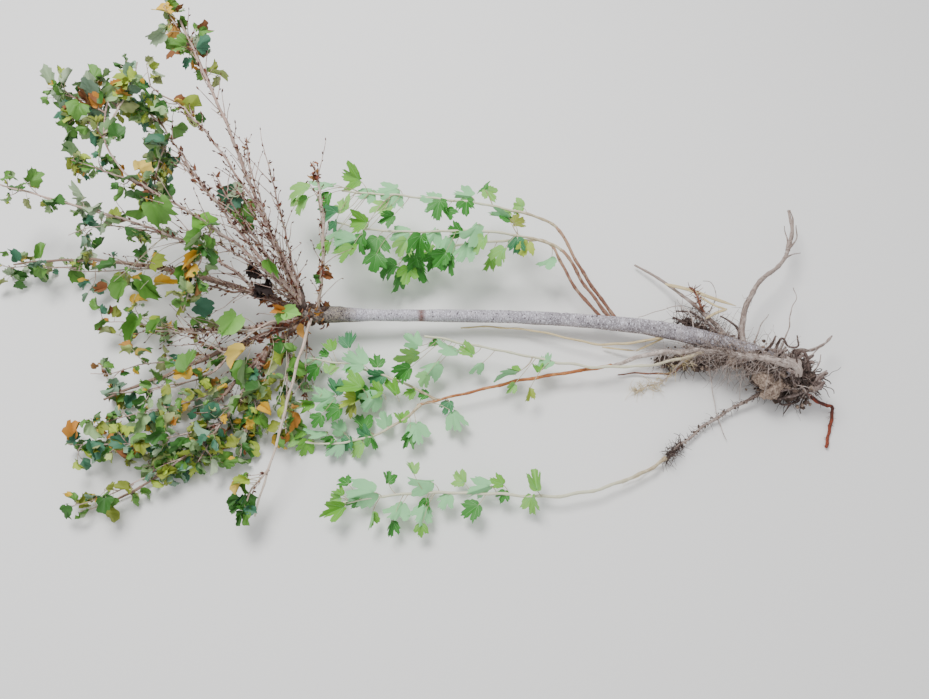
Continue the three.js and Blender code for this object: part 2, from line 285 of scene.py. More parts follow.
@dataclass(frozen=True)
class Viewpoint:
    """Where the photo was taken from, and how its pixels lie over the ground."""

    place: Triple = (0.111, -0.623, 1.300)
    pitch: float = 24.4        # degrees from straight down
    roll: float = 1.84
    focal: float = 750.0       # in pixels
    width: int = 929
    height: int = 699
    sensor: float = 36.0       # in millimetres, as Blender states a lens

    def turn(self) -> Matrix:
        """The rotation from the camera's own axes to the frame's."""
        tilt = Matrix.Rotation(math.radians(self.pitch), 3, "X")
        return tilt @ Matrix.Rotation(math.radians(self.roll), 3, "Z")

    def point(self, u: Array, v: Array, z: Array) -> Array:
        """Where the sight line through each pixel (u, v) is at height z.

        Args:
            u: pixels from the left.
            v: pixels from the top.
            z: heights above the ground.

        Returns:
            The points, one to a row.
        """
        u, v, z = np.broadcast_arrays(np.asarray(u, float), v, z)
        sight = np.stack([u - self.width / 2, self.height / 2 - v, -self.focal * np.ones_like(u)], axis=-1)
        sight = sight @ np.array(self.turn()).T
        reach = (z - self.place[2]) / sight[..., 2]
        return np.array(self.place) + sight * reach[..., None]

    def pixels(self, points: Array) -> Array:
        """The pixel (u, v) that shows each point.

        Args:
            points: places in the frame.

        Returns:
            u and v, last.
        """
        sight = (points - np.array(self.place)) @ np.array(self.turn())
        flat = sight[..., :2] * self.focal / -sight[..., 2:]
        return np.stack([flat[..., 0] + self.width / 2, self.height / 2 - flat[..., 1]], axis=-1)

    def build(self) -> bpy.types.Object:
        """Makes the scene's camera here.

        Returns:
            The camera.
        """
        data = bpy.data.cameras.new("camera")
        data.sensor_width = self.sensor
        data.lens = self.sensor * self.focal / self.width
        camera = bpy.data.objects.new("camera", data)
        camera.matrix_world = Matrix.Translation(self.place) @ self.turn().to_4x4()
        bpy.context.scene.collection.objects.link(camera)
        bpy.context.scene.camera = camera
        return camera


PHOTO = Viewpoint()


class Value:
    """A number or vector worked out by shader nodes, on which Python's operators add Math nodes."""

    def __init__(self, shader: "Shader", socket: bpy.types.NodeSocket) -> None:
        """Holds one node's output."""
        self.shader = shader
        self.socket = socket

    def _with(self, operation: str, first: Any, second: Any) -> "Value":
        """A Math node's result."""
        node = self.shader.node("ShaderNodeMath", {"operation": operation}, {0: first, 1: second})
        return Value(self.shader, node.outputs[0])

    def __add__(self, other: Any) -> "Value":
        """Self plus other."""
        return self._with("ADD", self, other)

    def __radd__(self, other: Any) -> "Value":
        """Other plus self."""
        return self._with("ADD", other, self)

    def __sub__(self, other: Any) -> "Value":
        """Self less other."""
        return self._with("SUBTRACT", self, other)

    def __rsub__(self, other: Any) -> "Value":
        """Other less self."""
        return self._with("SUBTRACT", other, self)

    def __mul__(self, other: Any) -> "Value":
        """Self times other."""
        return self._with("MULTIPLY", self, other)

    def __rmul__(self, other: Any) -> "Value":
        """Other times self."""
        return self._with("MULTIPLY", other, self)


class Shader:
    """One material and the nodes that work out its finish."""

    def __init__(self, name: str) -> None:
        """Starts with a bare Principled surface.

        Args:
            name: the material's name.
        """
        self.material = bpy.data.materials.new(name)
        self.material.use_nodes = True
        self.tree = self.material.node_tree
        self.tree.nodes.clear()
        self.surface = self.node("ShaderNodeBsdfPrincipled")
        output = self.node("ShaderNodeOutputMaterial")
        self.tree.links.new(self.surface.outputs[0], output.inputs["Surface"])

    def node(self, kind: str, settings: dict[str, Any] | None = None,
             inputs: dict[str | int, Any] | None = None) -> bpy.types.Node:
        """Adds a node.

        Args:
            kind: its type.
            settings: its own settings, which are set first.
            inputs: what goes into its sockets, by name or number: values or links.

        Returns:
            The node.
        """
        node = self.tree.nodes.new(kind)
        for name, setting in (settings or {}).items():
            setattr(node, name, setting)
        for name, value in (inputs or {}).items():
            self.feed(node.inputs[name], value)
        return node

    def feed(self, socket: bpy.types.NodeSocket, value: Any) -> None:
        """Links a Value to a socket, or sets a plain value on it.

        Args:
            socket: what is fed.
            value: a Value, or what the socket's default takes.
        """
        if isinstance(value, Value):
            self.tree.links.new(value.socket, socket)
        else:
            socket.default_value = value

    def own(self) -> Value:
        """The frame's coordinates."""
        return Value(self, self.node("ShaderNodeTexCoord").outputs["Object"])

    def grain(self) -> Value:
        """Each point's place on its limb pulled straight, with Z along the limb."""
        node = self.node("ShaderNodeAttribute", {"attribute_name": GRAIN})
        return Value(self, node.outputs["Vector"])

    def part(self, where: Value, axis: str) -> Value:
        """One coordinate of a vector."""
        return Value(self, self.node("ShaderNodeSeparateXYZ", None, {0: where}).outputs[axis])

    def scaled(self, where: Value, scale: Scale) -> Value:
        """Coordinates times a scale for each axis."""
        return Value(self, self.node("ShaderNodeMapping", None, {"Vector": where, "Scale": scale}).outputs[0])

    def noise(self, where: Value, kind: Noise) -> Value:
        """Cloudy noise from 0 to 1."""
        given = {"Vector": where, **dict(zip(("Scale", "Detail", "Roughness"), kind, strict=True))}
        return Value(self, self.node("ShaderNodeTexNoise", None, given).outputs[0])

    def spots(self, where: Value, scale: float) -> Value:
        """Distance from the nearest of many scattered points."""
        given = {"Vector": where, "Scale": scale}
        return Value(self, self.node("ShaderNodeTexVoronoi", None, given).outputs["Distance"])

    def between(self, value: Value, low: float, high: float) -> Value:
        """0 where a value is under low, 1 over high, and smooth between them.

        Args:
            value: what is measured.
            low: where the step begins.
            high: where it ends.

        Returns:
            A number from 0 to 1.
        """
        given = {"Value": value, "From Min": low, "From Max": high}
        node = self.node("ShaderNodeMapRange", {"interpolation_type": "SMOOTHSTEP"}, given)
        return Value(self, node.outputs[0])

    def blend(self, mask: Value, first: Any, second: Any) -> Value:
        """The first colour where the mask is 0 and the second where it is 1."""
        node = self.node("ShaderNodeMix", {"data_type": "RGBA"}, {0: mask, 6: first, 7: second})
        return Value(self, node.outputs[2])

    def relief(self, height: Value, depth: float) -> None:
        """Bumps the surface by a height of that depth."""
        bump = self.node("ShaderNodeBump", None, {"Height": height, "Distance": depth})
        self.tree.links.new(bump.outputs[0], self.surface.inputs["Normal"])

    def finish(self, base: Any, rough: Any) -> bpy.types.Material:
        """Sets the surface's colour and roughness, and hands back the material.

        Args:
            base: a colour, or the Value of one.
            rough: a number, or the Value of one.

        Returns:
            The material.
        """
        self.feed(self.surface.inputs["Base Color"], base)
        self.feed(self.surface.inputs["Roughness"], rough)
        return self.material


GRAIN = "grain"


@dataclass(frozen=True)
class Coat:
    """A colour laid over a finish: nothing where a pattern is under low, and its full cover over high."""

    shade: str
    low: float
    high: float
    cover: float

    def over(self, shader: Shader, colour: Any, pattern: Value, within: Value | None = None) -> Value:
        """The colour with the coat over it.

        Args:
            shader: what it is worked out in.
            colour: what lies below.
            pattern: what decides where the coat is.
            within: a mask that holds it in, if any.

        Returns:
            The new colour.
        """
        mask = self.cover * shader.between(pattern, self.low, self.high)
        return shader.blend(mask if within is None else mask * within, colour, tint_of(self.shade))


@dataclass(frozen=True)
class LimbFinish:
    """What the skins of all limbs have: their colours, and how they lie."""

    name: str
    slot: str
    light: str
    dark: str
    patch: str
    spot: str
    tip: str = ""               # empty where the tip is like the rest
    tip_from: float = 0.0       # metres from the limb's foot where the tip's colour begins
    tip_to: float = 0.0         # and where it is full
    patch_share: float = 0.5    # noise above this is a patch
    streaks: float = 900.0      # streaks to the metre, round the limb
    rough: float = 0.72
    depth: float = 0.0007


@dataclass(frozen=True)
class BarkFinish(LimbFinish):
    """A limb's skin: streaks along it, patches, spots across it, and another colour towards its tip."""

    spot_width: float = 0.22    # as a share of the spots' spacing
    stretch: float = 0.08       # streaks along the limb are longer by one over this
    streak_kind: Pair = (5, 0.62)    # the streak noise's detail and roughness
    streak_band: Pair = (0.32, 0.68)
    patch_noise: Noise = (70, 4, 0.6)
    patch_edge: Pair = (0.15, 0.30)     # above patch_share
    patch_cover: float = 0.85
    fine_noise: Noise = (1400, 3, 0.6)
    fine_in_patch: float = 0.35
    fine_in_relief: float = 0.4
    spots: float = 260.0                # to the metre
    spot_shape: Scale = (0.45, 0.45, 1)     # under 1 makes a spot wider that way
    spot_core: float = 0.6              # share of its width that has its full colour
    spot_cover: float = 0.8
    spot_in_relief: float = 0.5
    tip_waver: float = 0.05             # metres that the patches shift the tip's colour by
    patch_gloss: float = 0.18
    streak_matt: float = 0.1

    def build(self) -> bpy.types.Material:
        """Makes the material.

        Returns:
            The material.
        """
        shader = Shader(self.name)
        grain = shader.grain()
        streak = shader.noise(shader.scaled(grain, (1, 1, self.stretch)), (self.streaks, *self.streak_kind))
        patch = shader.noise(grain, self.patch_noise)
        fine = shader.noise(grain, self.fine_noise)
        spot = shader.spots(shader.scaled(grain, self.spot_shape), self.spots)
        tone = shader.between(streak, *self.streak_band)
        colour = shader.blend(tone, tint_of(self.dark), tint_of(self.light))
        low, high = (self.patch_share + edge for edge in self.patch_edge)
        patched = Coat(self.patch, low, high, self.patch_cover)
        colour = patched.over(shader, colour, patch + self.fine_in_patch * fine)
        if self.tip:
            reached = shader.part(grain, "Z") + self.tip_waver * patch
            tip = shader.blend(streak, tint_of(self.tip), tint_of(self.light))
            colour = shader.blend(shader.between(reached, self.tip_from, self.tip_to), colour, tip)
        spotted = 1 - shader.between(spot, self.spot_width * self.spot_core, self.spot_width)
        colour = shader.blend(self.spot_cover * spotted, colour, tint_of(self.spot))
        shader.relief(streak + self.fine_in_relief * fine + self.spot_in_relief * spotted, self.depth)
        return shader.finish(colour, self.rough - self.patch_gloss * patch + self.streak_matt * streak)


@dataclass(frozen=True)
class StemFinish(LimbFinish):
    """The stem's grey bark: short pale flecks across it, dark pits, painted brown shade on its underside, a
    bloom and a scar.
    """

    cloud_noise: Noise = (55, 4, 0.62)
    mottle_kind: Pair = (4, 0.7)     # the mottle noise's detail and roughness
    mottle_stretch: float = 0.7
    mottle_band: Pair = (0.5, 0.78)
    cloud_in_mottle: float = 0.3
    patch_width: float = 0.12       # above patch_share, where patches are whole
    patch_cover: float = 0.6
    fleck: Coat = Coat("e2e0ea", 0.61, 0.67, 0.9)
    fleck_noise: Noise = (480, 3, 0.65)
    fleck_shape: Scale = (0.4, 0.4, 1)
    cloud_in_fleck: float = 0.12
    painted_underside_shade: Coat = Coat("6a5044", 0.006, 0.013, 0.7)      # painted brown shade on the underside, by metres down from the stem's middle
    underside_shade_way: Pair = (-0.5, -0.85)       # the way down for the painted shade, in the grain's X and Y
    bloom: Coat = Coat("d8d4e2", 0.25, 0.85, 0.65)       # by metres from the foot, towards the crown
    bloom_waver: float = 0.2
    bloom_band: Pair = (0.3, 0.62)
    crust_waver: Pair = (0.05, 0.03)     # metres that the clouds and the mottle shift the tip's lichen by
    crust_cover: float = 0.85
    lichen_band: Pair = (0.42, 0.6)
    scar: Coat = Coat("74483c", 0.34, 0.5, 0.9)
    scar_at: float = 0.690               # metres from the stem's foot
    scar_width: float = 0.011
    small_waver: float = 0.006           # metres that the mottle shifts the scar and the painted underside shade by
    pits: float = 150.0                  # to the metre
    pit_shape: Scale = (0.6, 0.6, 1)
    pit_band: Pair = (0.17, 0.24)
    mottle_in_pit: float = 0.08
    pit_cover: float = 0.85
    dots: float = 330.0
    dot_band: Pair = (0.14, 0.22)
    dot_cover: float = 0.5
    fleck_in_relief: float = 0.5
    pit_in_relief: float = 0.8
    fleck_gloss: float = 0.1

    def build(self) -> bpy.types.Material:
        """Makes the material.

        Returns:
            The material.
        """
        shader = Shader(self.name)
        grain = shader.grain()
        cloud = shader.noise(grain, self.cloud_noise)
        stretched = shader.scaled(grain, (1, 1, self.mottle_stretch))
        mottle = shader.noise(stretched, (self.streaks, *self.mottle_kind))
        fleck = shader.noise(shader.scaled(grain, self.fleck_shape), self.fleck_noise)
        pit = shader.spots(shader.scaled(grain, self.pit_shape), self.pits)
        dot = shader.spots(grain, self.dots)
        distance = shader.part(grain, "Z")
        tone = shader.between(mottle + self.cloud_in_mottle * cloud, *self.mottle_band)
        colour = shader.blend(tone, tint_of(self.dark), tint_of(self.light))
        patched = Coat(self.patch, self.patch_share, self.patch_share + self.patch_width, self.patch_cover)
        colour = patched.over(shader, colour, cloud)
        mottled = shader.between(mottle, *self.bloom_band)
        colour = self.bloom.over(shader, colour, distance + self.bloom_waver * cloud, mottled)
        # painted brown shade, darker towards the stem's underside
        down = self.underside_shade_way[0] * shader.part(grain, "X") + self.underside_shade_way[1] * shader.part(grain, "Y")
        colour = self.painted_underside_shade.over(shader, colour, down + self.small_waver * mottle)
        colour = self.fleck.over(shader, colour, fleck + self.cloud_in_fleck * cloud)
        reached = distance + self.crust_waver[0] * cloud + self.crust_waver[1] * mottle
        crust = self.crust_cover * shader.between(reached, self.tip_from, self.tip_to)
        tone = shader.between(mottle, *self.lichen_band)
        colour = shader.blend(crust, colour, shader.blend(tone, tint_of(self.spot), tint_of(self.tip)))
        off = distance + self.small_waver * mottle - self.scar_at
        ring = shader.between(off, -self.scar_width, 0) - shader.between(off, 0, self.scar_width)
        colour = self.scar.over(shader, colour, mottle, ring)
        pitted = 1 - shader.between(pit + self.mottle_in_pit * mottle, *self.pit_band)
        dotted = 1 - shader.between(dot, *self.dot_band)
        colour = shader.blend(self.pit_cover * pitted, colour, tint_of(self.spot))
        colour = shader.blend(self.dot_cover * dotted, colour, tint_of(self.spot))
        shader.relief(mottle + self.fleck_in_relief * fleck - self.pit_in_relief * pitted, self.depth)
        return shader.finish(colour, self.rough - self.fleck_gloss * fleck)


class Skin(Enum):
    """The skins that the plant's limbs have."""

    STEM = StemFinish("stem_bark", "trunk_bark", "a8a1a6", "6a6266", "b8b0b4", "34282c", "92846a",
                      tip_from=0.835, tip_to=0.875, streaks=560, depth=0.0009)
    CANE = BarkFinish("cane_bark", "cane_bark", "d2b6aa", "6e4a40", "dcc8bc", "42241f", "c2a596",
                      tip_from=0.2, tip_to=0.5)
    BOUGH = BarkFinish("bough_bark", "cane_bark", "8c6e60", "3c2822", "a48e80", "281914", "8c7464",
                       tip_from=0.12, tip_to=0.3)
    PALE_CANE = BarkFinish("pale_cane_bark", "cane_bark", "e0d0c4", "a88f7c", "c0a896", "6a4e40", "d8c8b6",
                           tip_from=0.2, tip_to=0.4)
    UNION = BarkFinish("union_bark", "trunk_bark", "5a4034", "1c100c", "6e5a4a", "120a08", depth=0.0018)
    SUCKER_FOOT = BarkFinish("sucker_foot_bark", "shoot_bark", "9c6e58", "5f3c30", "a88a74", "3f2c24",
                             "c0a488", tip_from=0.14, tip_to=0.2)
    SUCKER = BarkFinish("sucker_bark", "shoot_bark", "c4b390", "967e60", "d4c6a8", "7f684e", "e8efd8",
                        tip_from=0.03, tip_to=0.18, spot_width=0.12, rough=0.6, depth=0.0003)
    AMBER = BarkFinish("amber_sucker_bark", "shoot_bark", "bc7238", "864a28", "c48850", "643a22", "d4c098",
                       tip_from=0.3, tip_to=0.45, spot_width=0.14, rough=0.55, depth=0.0003)
    STRAW = BarkFinish("straw_bark", "shoot_bark", "e2d2a6", "bca374", "d6c498", "8a7050",
                       spot_width=0.1, rough=0.6, depth=0.0003)
    ROOT = BarkFinish("root_bark", "root_bark", "ac9a90", "5e4c44", "beb0a8", "3a2b25", "92827a",
                      tip_from=0.1, tip_to=0.3, streaks=700, depth=0.001)
    DARK_ROOT = BarkFinish("dark_root_bark", "root_bark", "5a4740", "2c201b", "705d56", "1c1310")
    PALE_ROOT = BarkFinish("pale_root_bark", "root_bark", "cabbb2", "94837a", "d6cac2", "6c5a50",
                           streaks=700, depth=0.001)
    KNOT = BarkFinish("root_knot_bark", "root_bark", "94807a", "4e3e38", "ac9c94", "2e221e",
                      streaks=500, depth=0.0016)
    BUD = BarkFinish("bud_scales", "cane_bark", "5f3226", "33170f", "6e4030", "200e0a")
    RUSTY_ROOT = BarkFinish("rusty_root_bark", "root_bark", "b04a26", "4c1e14", "3a1a14", "200e0c", "180a08",
                            tip_from=0.11, tip_to=0.15, patch_share=0.38, spot_width=0.3)
    BROWN_ROOT = BarkFinish("red_brown_root_bark", "root_bark", "84513c", "522e24", "946650", "331c16")


@dataclass(frozen=True)
class LeafFinish:
    """One face of a leaf: a plain colour, with the gloss and the fine relief of its skin."""

    name: str
    shade: str
    rough: float
    skin: Noise = (900, 3, 0.6)
    depth: float = 0.0004
    matt: float = 0.25

    def build(self) -> bpy.types.Material:
        """Makes the material.

        Returns:
            The material.
        """
        shader = Shader(self.name)
        mottle = shader.noise(shader.own(), self.skin)
        shader.relief(mottle, self.depth)
        return shader.finish(tint_of(self.shade), self.rough + self.matt * mottle)


@dataclass(frozen=True)
class EarthFinish:
    """Dry earth of two tones with fine grains."""

    name: str
    light: str
    dark: str
    slot: str = "soil"
    clods: Noise = (170, 5, 0.65)
    grains: Noise = (1700, 3, 0.6)
    grain_share: float = 0.35
    band: Pair = (0.5, 0.85)
    depth: float = 0.0018
    rough: float = 0.85
    grain_matt: float = 0.1

    def build(self) -> bpy.types.Material:
        """Makes the material.

        Returns:
            The material.
        """
        shader = Shader(self.name)
        clod = shader.noise(shader.own(), self.clods)
        grain = shader.noise(shader.own(), self.grains)
        mixed = clod + self.grain_share * grain
        colour = shader.blend(shader.between(mixed, *self.band), tint_of(self.dark), tint_of(self.light))
        shader.relief(mixed, self.depth)
        return shader.finish(colour, self.rough + self.grain_matt * grain)


class Earth(Enum):
    """The kinds of earth that are caught in the roots."""

    CLAY = EarthFinish("pale_clay", "c4ae9c", "6a564a", clods=(260, 5, 0.65))
    SOIL = EarthFinish("dark_soil", "6c5a50", "32261f")


class Tint(Enum):
    """The colours of the leaves: a name, the upper face, the under face and how matt the upper one is."""

    GREEN = ("green", "5c8e34", "90ae76", 0.42)
    DEEP = ("deep", "34681f", "7a9c66", 0.42)
    SEA = ("sea_green", "3e7456", "84a488", 0.45)
    OLIVE = ("olive", "869232", "a0aa70", 0.5)
    LIME = ("lime", "a4ba40", "b2c474", 0.48)
    YELLOW = ("yellow", "d4ac34", "d4b858", 0.55)
    ORANGE = ("orange", "be802e", "c08c44", 0.6)
    RUST = ("rust", "7c4c26", "946c40", 0.68)
    FADED = ("faded", "98ae8a", "a8ba98", 0.6)
    SCALE = ("scale", "703a28", "8e5c42", 0.8)
    WITHERED = ("withered", "20120f", "38241f", 0.75)
    FRESH = ("fresh", "6cac36", "86c276", 0.4)
    FRESH_DEEP = ("fresh_deep", "378228", "80bc70", 0.4)
    FRESH_SEA = ("fresh_sea", "3e8250", "80b888", 0.42)
    FRESH_PALE = ("fresh_pale", "86be5a", "8ccc90", 0.45)


class Finishes:
    """Makes each finish's material once, when it is first asked for."""

    def __init__(self) -> None:
        """Starts with none made."""
        self.made: dict[str, bpy.types.Material] = {}

    def get(self, name: str, build: Callable[[], bpy.types.Material]) -> bpy.types.Material:
        """The material of that name.

        Args:
            name: the material's name.
            build: makes it if it isn't there yet.

        Returns:
            The material.
        """
        if name not in self.made:
            self.made[name] = build()
        return self.made[name]

    def skin(self, skin: Skin | Earth) -> bpy.types.Material:
        """The material of a limb's skin, or of earth."""
        return self.get(skin.value.name, skin.value.build)

    def leaf(self, tint: Tint, under: bool) -> bpy.types.Material:
        """The material of a leaf's upper or under face.

        Args:
            tint: the leaf's colours.
            under: whether it is the under face.

        Returns:
            The material.
        """
        name, top, below, rough = tint.value
        if under:
            finish = LeafFinish(f"leaf_{name}_under", below, rough + UNDER_MATT)
        else:
            finish = LeafFinish(f"leaf_{name}", top, rough)
        return self.get(finish.name, finish.build)


FINISHES = Finishes()


@dataclass
class Surface:
    """Part of a piece: its points, its faces, their place along the grain and their material's number."""

    points: Array     # (n, 3)
    faces: Array      # (m, 4) numbers of points, the last one -1 in a triangle
    grain: Array      # (n, 3)
    tones: Array      # (m,)

    @staticmethod
    def join(parts: list["Surface"]) -> "Surface":
        """All the parts as one.

        Args:
            parts: surfaces whose tones number the same materials.

        Returns:
            One surface.
        """
        starts = np.cumsum([0] + [len(part.points) for part in parts[:-1]])
        faces = [np.where(part.faces < 0, -1, part.faces + start)
                 for part, start in zip(parts, starts, strict=True)]
        return Surface(np.concatenate([part.points for part in parts]), np.concatenate(faces),
                       np.concatenate([part.grain for part in parts]),
                       np.concatenate([part.tones for part in parts]))

    def piece(self, name: str, materials: list[bpy.types.Material], slot: str,
              stands_for: tuple[str, ...] = ()) -> bpy.types.Object:
        """Makes the Blender object.

        Args:
            name: the piece's name.
            materials: what the faces' tones number.
            slot: the record's material slot; not used.
            stands_for: the CAD nodes that it replaces.

        Returns:
            The object, which rides on the plant's one body.
        """
        mesh = bpy.data.meshes.new(name)
        counts = (self.faces >= 0).sum(axis=1)
        corners = self.faces[self.faces >= 0]
        mesh.vertices.add(len(self.points))
        mesh.vertices.foreach_set("co", pressed(self.points).astype(np.float32).ravel())
        mesh.loops.add(len(corners))
        mesh.loops.foreach_set("vertex_index", corners.astype(np.int32))
        mesh.polygons.add(len(counts))
        mesh.polygons.foreach_set("loop_start", (np.cumsum(counts) - counts).astype(np.int32))
        mesh.polygons.foreach_set("material_index", self.tones.astype(np.int32))
        mesh.polygons.foreach_set("use_smooth", np.ones(len(counts), bool))
        attribute = mesh.attributes.new(GRAIN, "FLOAT_VECTOR", "POINT")
        attribute.data.foreach_set("vector", self.grain.astype(np.float32).ravel())
        mesh.update(calc_edges=True)
        mesh.validate()
        mesh.edges.foreach_set("use_edge_sharp", self._rims(mesh, counts))
        for material in materials:
            mesh.materials.append(material)
        piece = bpy.data.objects.new(name, mesh)
        bpy.context.scene.collection.objects.link(piece)
        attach(piece, "root")
        if stands_for:
            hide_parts(*stands_for)
        log.info("%s: %d triangles", name, int((counts - 2).sum()))
        return piece

    def clad(self, name: str, skin: Skin, stands_for: tuple[str, ...] = ()) -> bpy.types.Object:
        """Makes a piece that has one skin all over."""
        return self.piece(name, [FINISHES.skin(skin)], skin.value.slot, stands_for)

    def _rims(self, mesh: bpy.types.Mesh, counts: Array) -> Array:
        """Which edges part an upper face of a leaf from an under one: those of an even and an odd tone.

        Args:
            mesh: the piece's mesh.
            counts: how many corners each face has.

        Returns:
            True for each edge between the two.
        """
        edges = np.empty(counts.sum(), np.int32)
        mesh.loops.foreach_get("edge_index", edges)
        under = np.bincount(edges, np.repeat(self.tones % 2, counts), len(mesh.edges))
        every = np.bincount(edges, minlength=len(mesh.edges))
        return (under > 0) & (under < every)


def skin_over(lines: Array, radii: Array, sides: int, tone: Array | int = 0, seed: int = 0) -> Surface:
    """Round skins over many lines at once, closed at both ends.

    A ring's point is its line's point plus its radius times (cos a * side + sin a * over), where a
    goes once round, side starts level across the line and is carried along it without a twist, and
    over is at right angles to both.

    Args:
        lines: (lines, rings, 3) middle lines.
        radii: radii that broadcast to (lines, rings, sides).
        sides: points to a ring.
        tone: the material number of all the lines, or of each.
        seed: shifts each line's grain.

    Returns:
        The surface.
    """
    count, rings, _ = lines.shape
    way = unit(np.gradient(lines, axis=1))
    mean = unit(way.mean(axis=1))
    held = np.cross(mean, np.where(np.abs(mean[:, 2:]) < UPRIGHT, UP, ALONG))
    side = np.empty_like(way)
    for ring in range(rings):
        held = unit(held - (held * way[:, ring]).sum(axis=1, keepdims=True) * way[:, ring])
        side[:, ring] = held
    over = np.cross(side, way)
    turn = round_turn(sides)
    radii = np.broadcast_to(radii, (count, rings, sides))
    ring = np.cos(turn)[:, None] * side[:, :, None, :] + np.sin(turn)[:, None] * over[:, :, None, :]
    points = lines[:, :, None, :] + radii[..., None] * ring
    foot = lines[:, 0] - FOOT_CAP * radii[:, 0].mean(axis=1)[:, None] * way[:, 0]
    tip = lines[:, -1] + TIP_CAP * radii[:, -1].mean(axis=1)[:, None] * way[:, -1]
    steps = np.linalg.norm(np.diff(lines, axis=1), axis=2)
    along = np.concatenate([np.zeros((count, 1)), np.cumsum(steps, axis=1)], axis=1)
    shift = np.random.default_rng(seed).uniform(-1, 1, (count, 1, 1, 2))
    flat = radii[..., None] * np.stack([np.cos(turn), np.sin(turn)], axis=-1) + shift
    deep = np.broadcast_to(along[:, :, None, None], (count, rings, sides, 1))
    grain = np.concatenate([flat, deep], axis=-1)
    ends = np.concatenate([np.broadcast_to(shift[:, 0, 0], (count, 2)), along[:, -1:]], axis=1)
    starts = np.concatenate([np.broadcast_to(shift[:, 0, 0], (count, 2)), along[:, :1]], axis=1)
    grid = np.arange(count * rings * sides).reshape(count, rings, sides)
    after = np.roll(grid, -1, axis=2)
    walls = np.stack([grid[:, :-1], grid[:, 1:], after[:, 1:], after[:, :-1]], axis=-1).reshape(-1, 4)
    feet = np.broadcast_to(grid.size + np.arange(count)[:, None], (count, sides))
    tips = feet + count
    none = np.full((count, sides), -1)
    low = np.stack([feet, grid[:, 0], after[:, 0], none], axis=-1).reshape(-1, 4)
    high = np.stack([tips, after[:, -1], grid[:, -1], none], axis=-1).reshape(-1, 4)
    own = np.broadcast_to(tone, count)
    tones = [np.repeat(own, (rings - 1) * sides), np.repeat(own, sides), np.repeat(own, sides)]
    return Surface(np.concatenate([points.reshape(-1, 3), foot, tip]), np.concatenate([walls, low, high]),
                   np.concatenate([grain.reshape(-1, 3), starts, ends]), np.concatenate(tones))


@dataclass(frozen=True)
class Growth:
    """How a limb, a spray or a bare line grows from its carrier: where it leaves it, and how it runs."""

    name: str
    on: str
    _: KW_ONLY
    at: float              # metres along its carrier
    heading: float         # compass direction in degrees, 0 along +X and 90 along +Y
    climb: float           # degrees above the level
    run: Run
    lift: float = 0.0      # metres above its carrier's middle line


@dataclass(frozen=True, kw_only=True)
class Limb(Growth):
    """A cane, sucker or root of the plan, with its thickness at foot and tip."""

    thick: Pair
    skin: Skin
    knots: float = 0.03      # spacing of its buds' swellings
    collar: float = 0.45     # how much thicker it is where it leaves its carrier


@dataclass(frozen=True, kw_only=True)
class Leafage:
    """Leafy twigs that reach no further than their half sizes from a spine."""

    wide: float
    high: float
    autumn: float = 0.08     # share of the twigs with yellow, orange or rusty leaves
    density: float = 1.0


@dataclass(frozen=True, kw_only=True)
class Spray(Growth, Leafage):
    """A spray of leaves of the plan, on a spine of its own."""


@dataclass(frozen=True, kw_only=True)
class Cover(Leafage):
    """The leaves that one of the photo's fine limbs bears along its own line."""

    on: str


class Plan:
    """The middle lines of everything that grows, by name."""

    def __init__(self, stem: Path) -> None:
        """Starts with the stem."""
        self.paths: dict[str, Path] = {"trunk": stem}

    def grow(self, growth: Growth) -> Path:
        """Works out and keeps the middle line of one growth.

        Args:
            growth: a limb, a root or a spray whose carrier has grown.

        Returns:
            Its middle line.
        """
        start = self.paths[growth.on].at(growth.at) + growth.lift * UP
        path = Path(walk(start, growth.heading, growth.climb, growth.run))
        self.paths[growth.name] = path
        return path

    def round_off(self, first: str, second: str, reach: float = 0.028, half: int = 6) -> None:
        """Rounds the bend where one limb goes on from the end of another.

        The pieces within reach of the joint give way to the curve (1-t)^2 a + 2t(1-t) joint + t^2 b
        between their far ends a and b, and its middle is the new joint.

        Args:
            first: the limb that ends at the joint.
            second: the limb that starts there.
            reach: how far from the joint the curve starts and ends.
            half: points on either half of the curve.
        """
        before, after = self.paths[first], self.paths[second]
        kept = before.points[before.marks < before.length - reach]
        left = after.points[after.marks > reach]
        curve = bowed(kept[-1:], after.points[:1], left[:1], 2 * half + 1)[0]
        self.paths[first] = Path(np.concatenate([kept, curve[1:half + 1]]))
        self.paths[second] = Path(np.concatenate([curve[half:-1], left]))


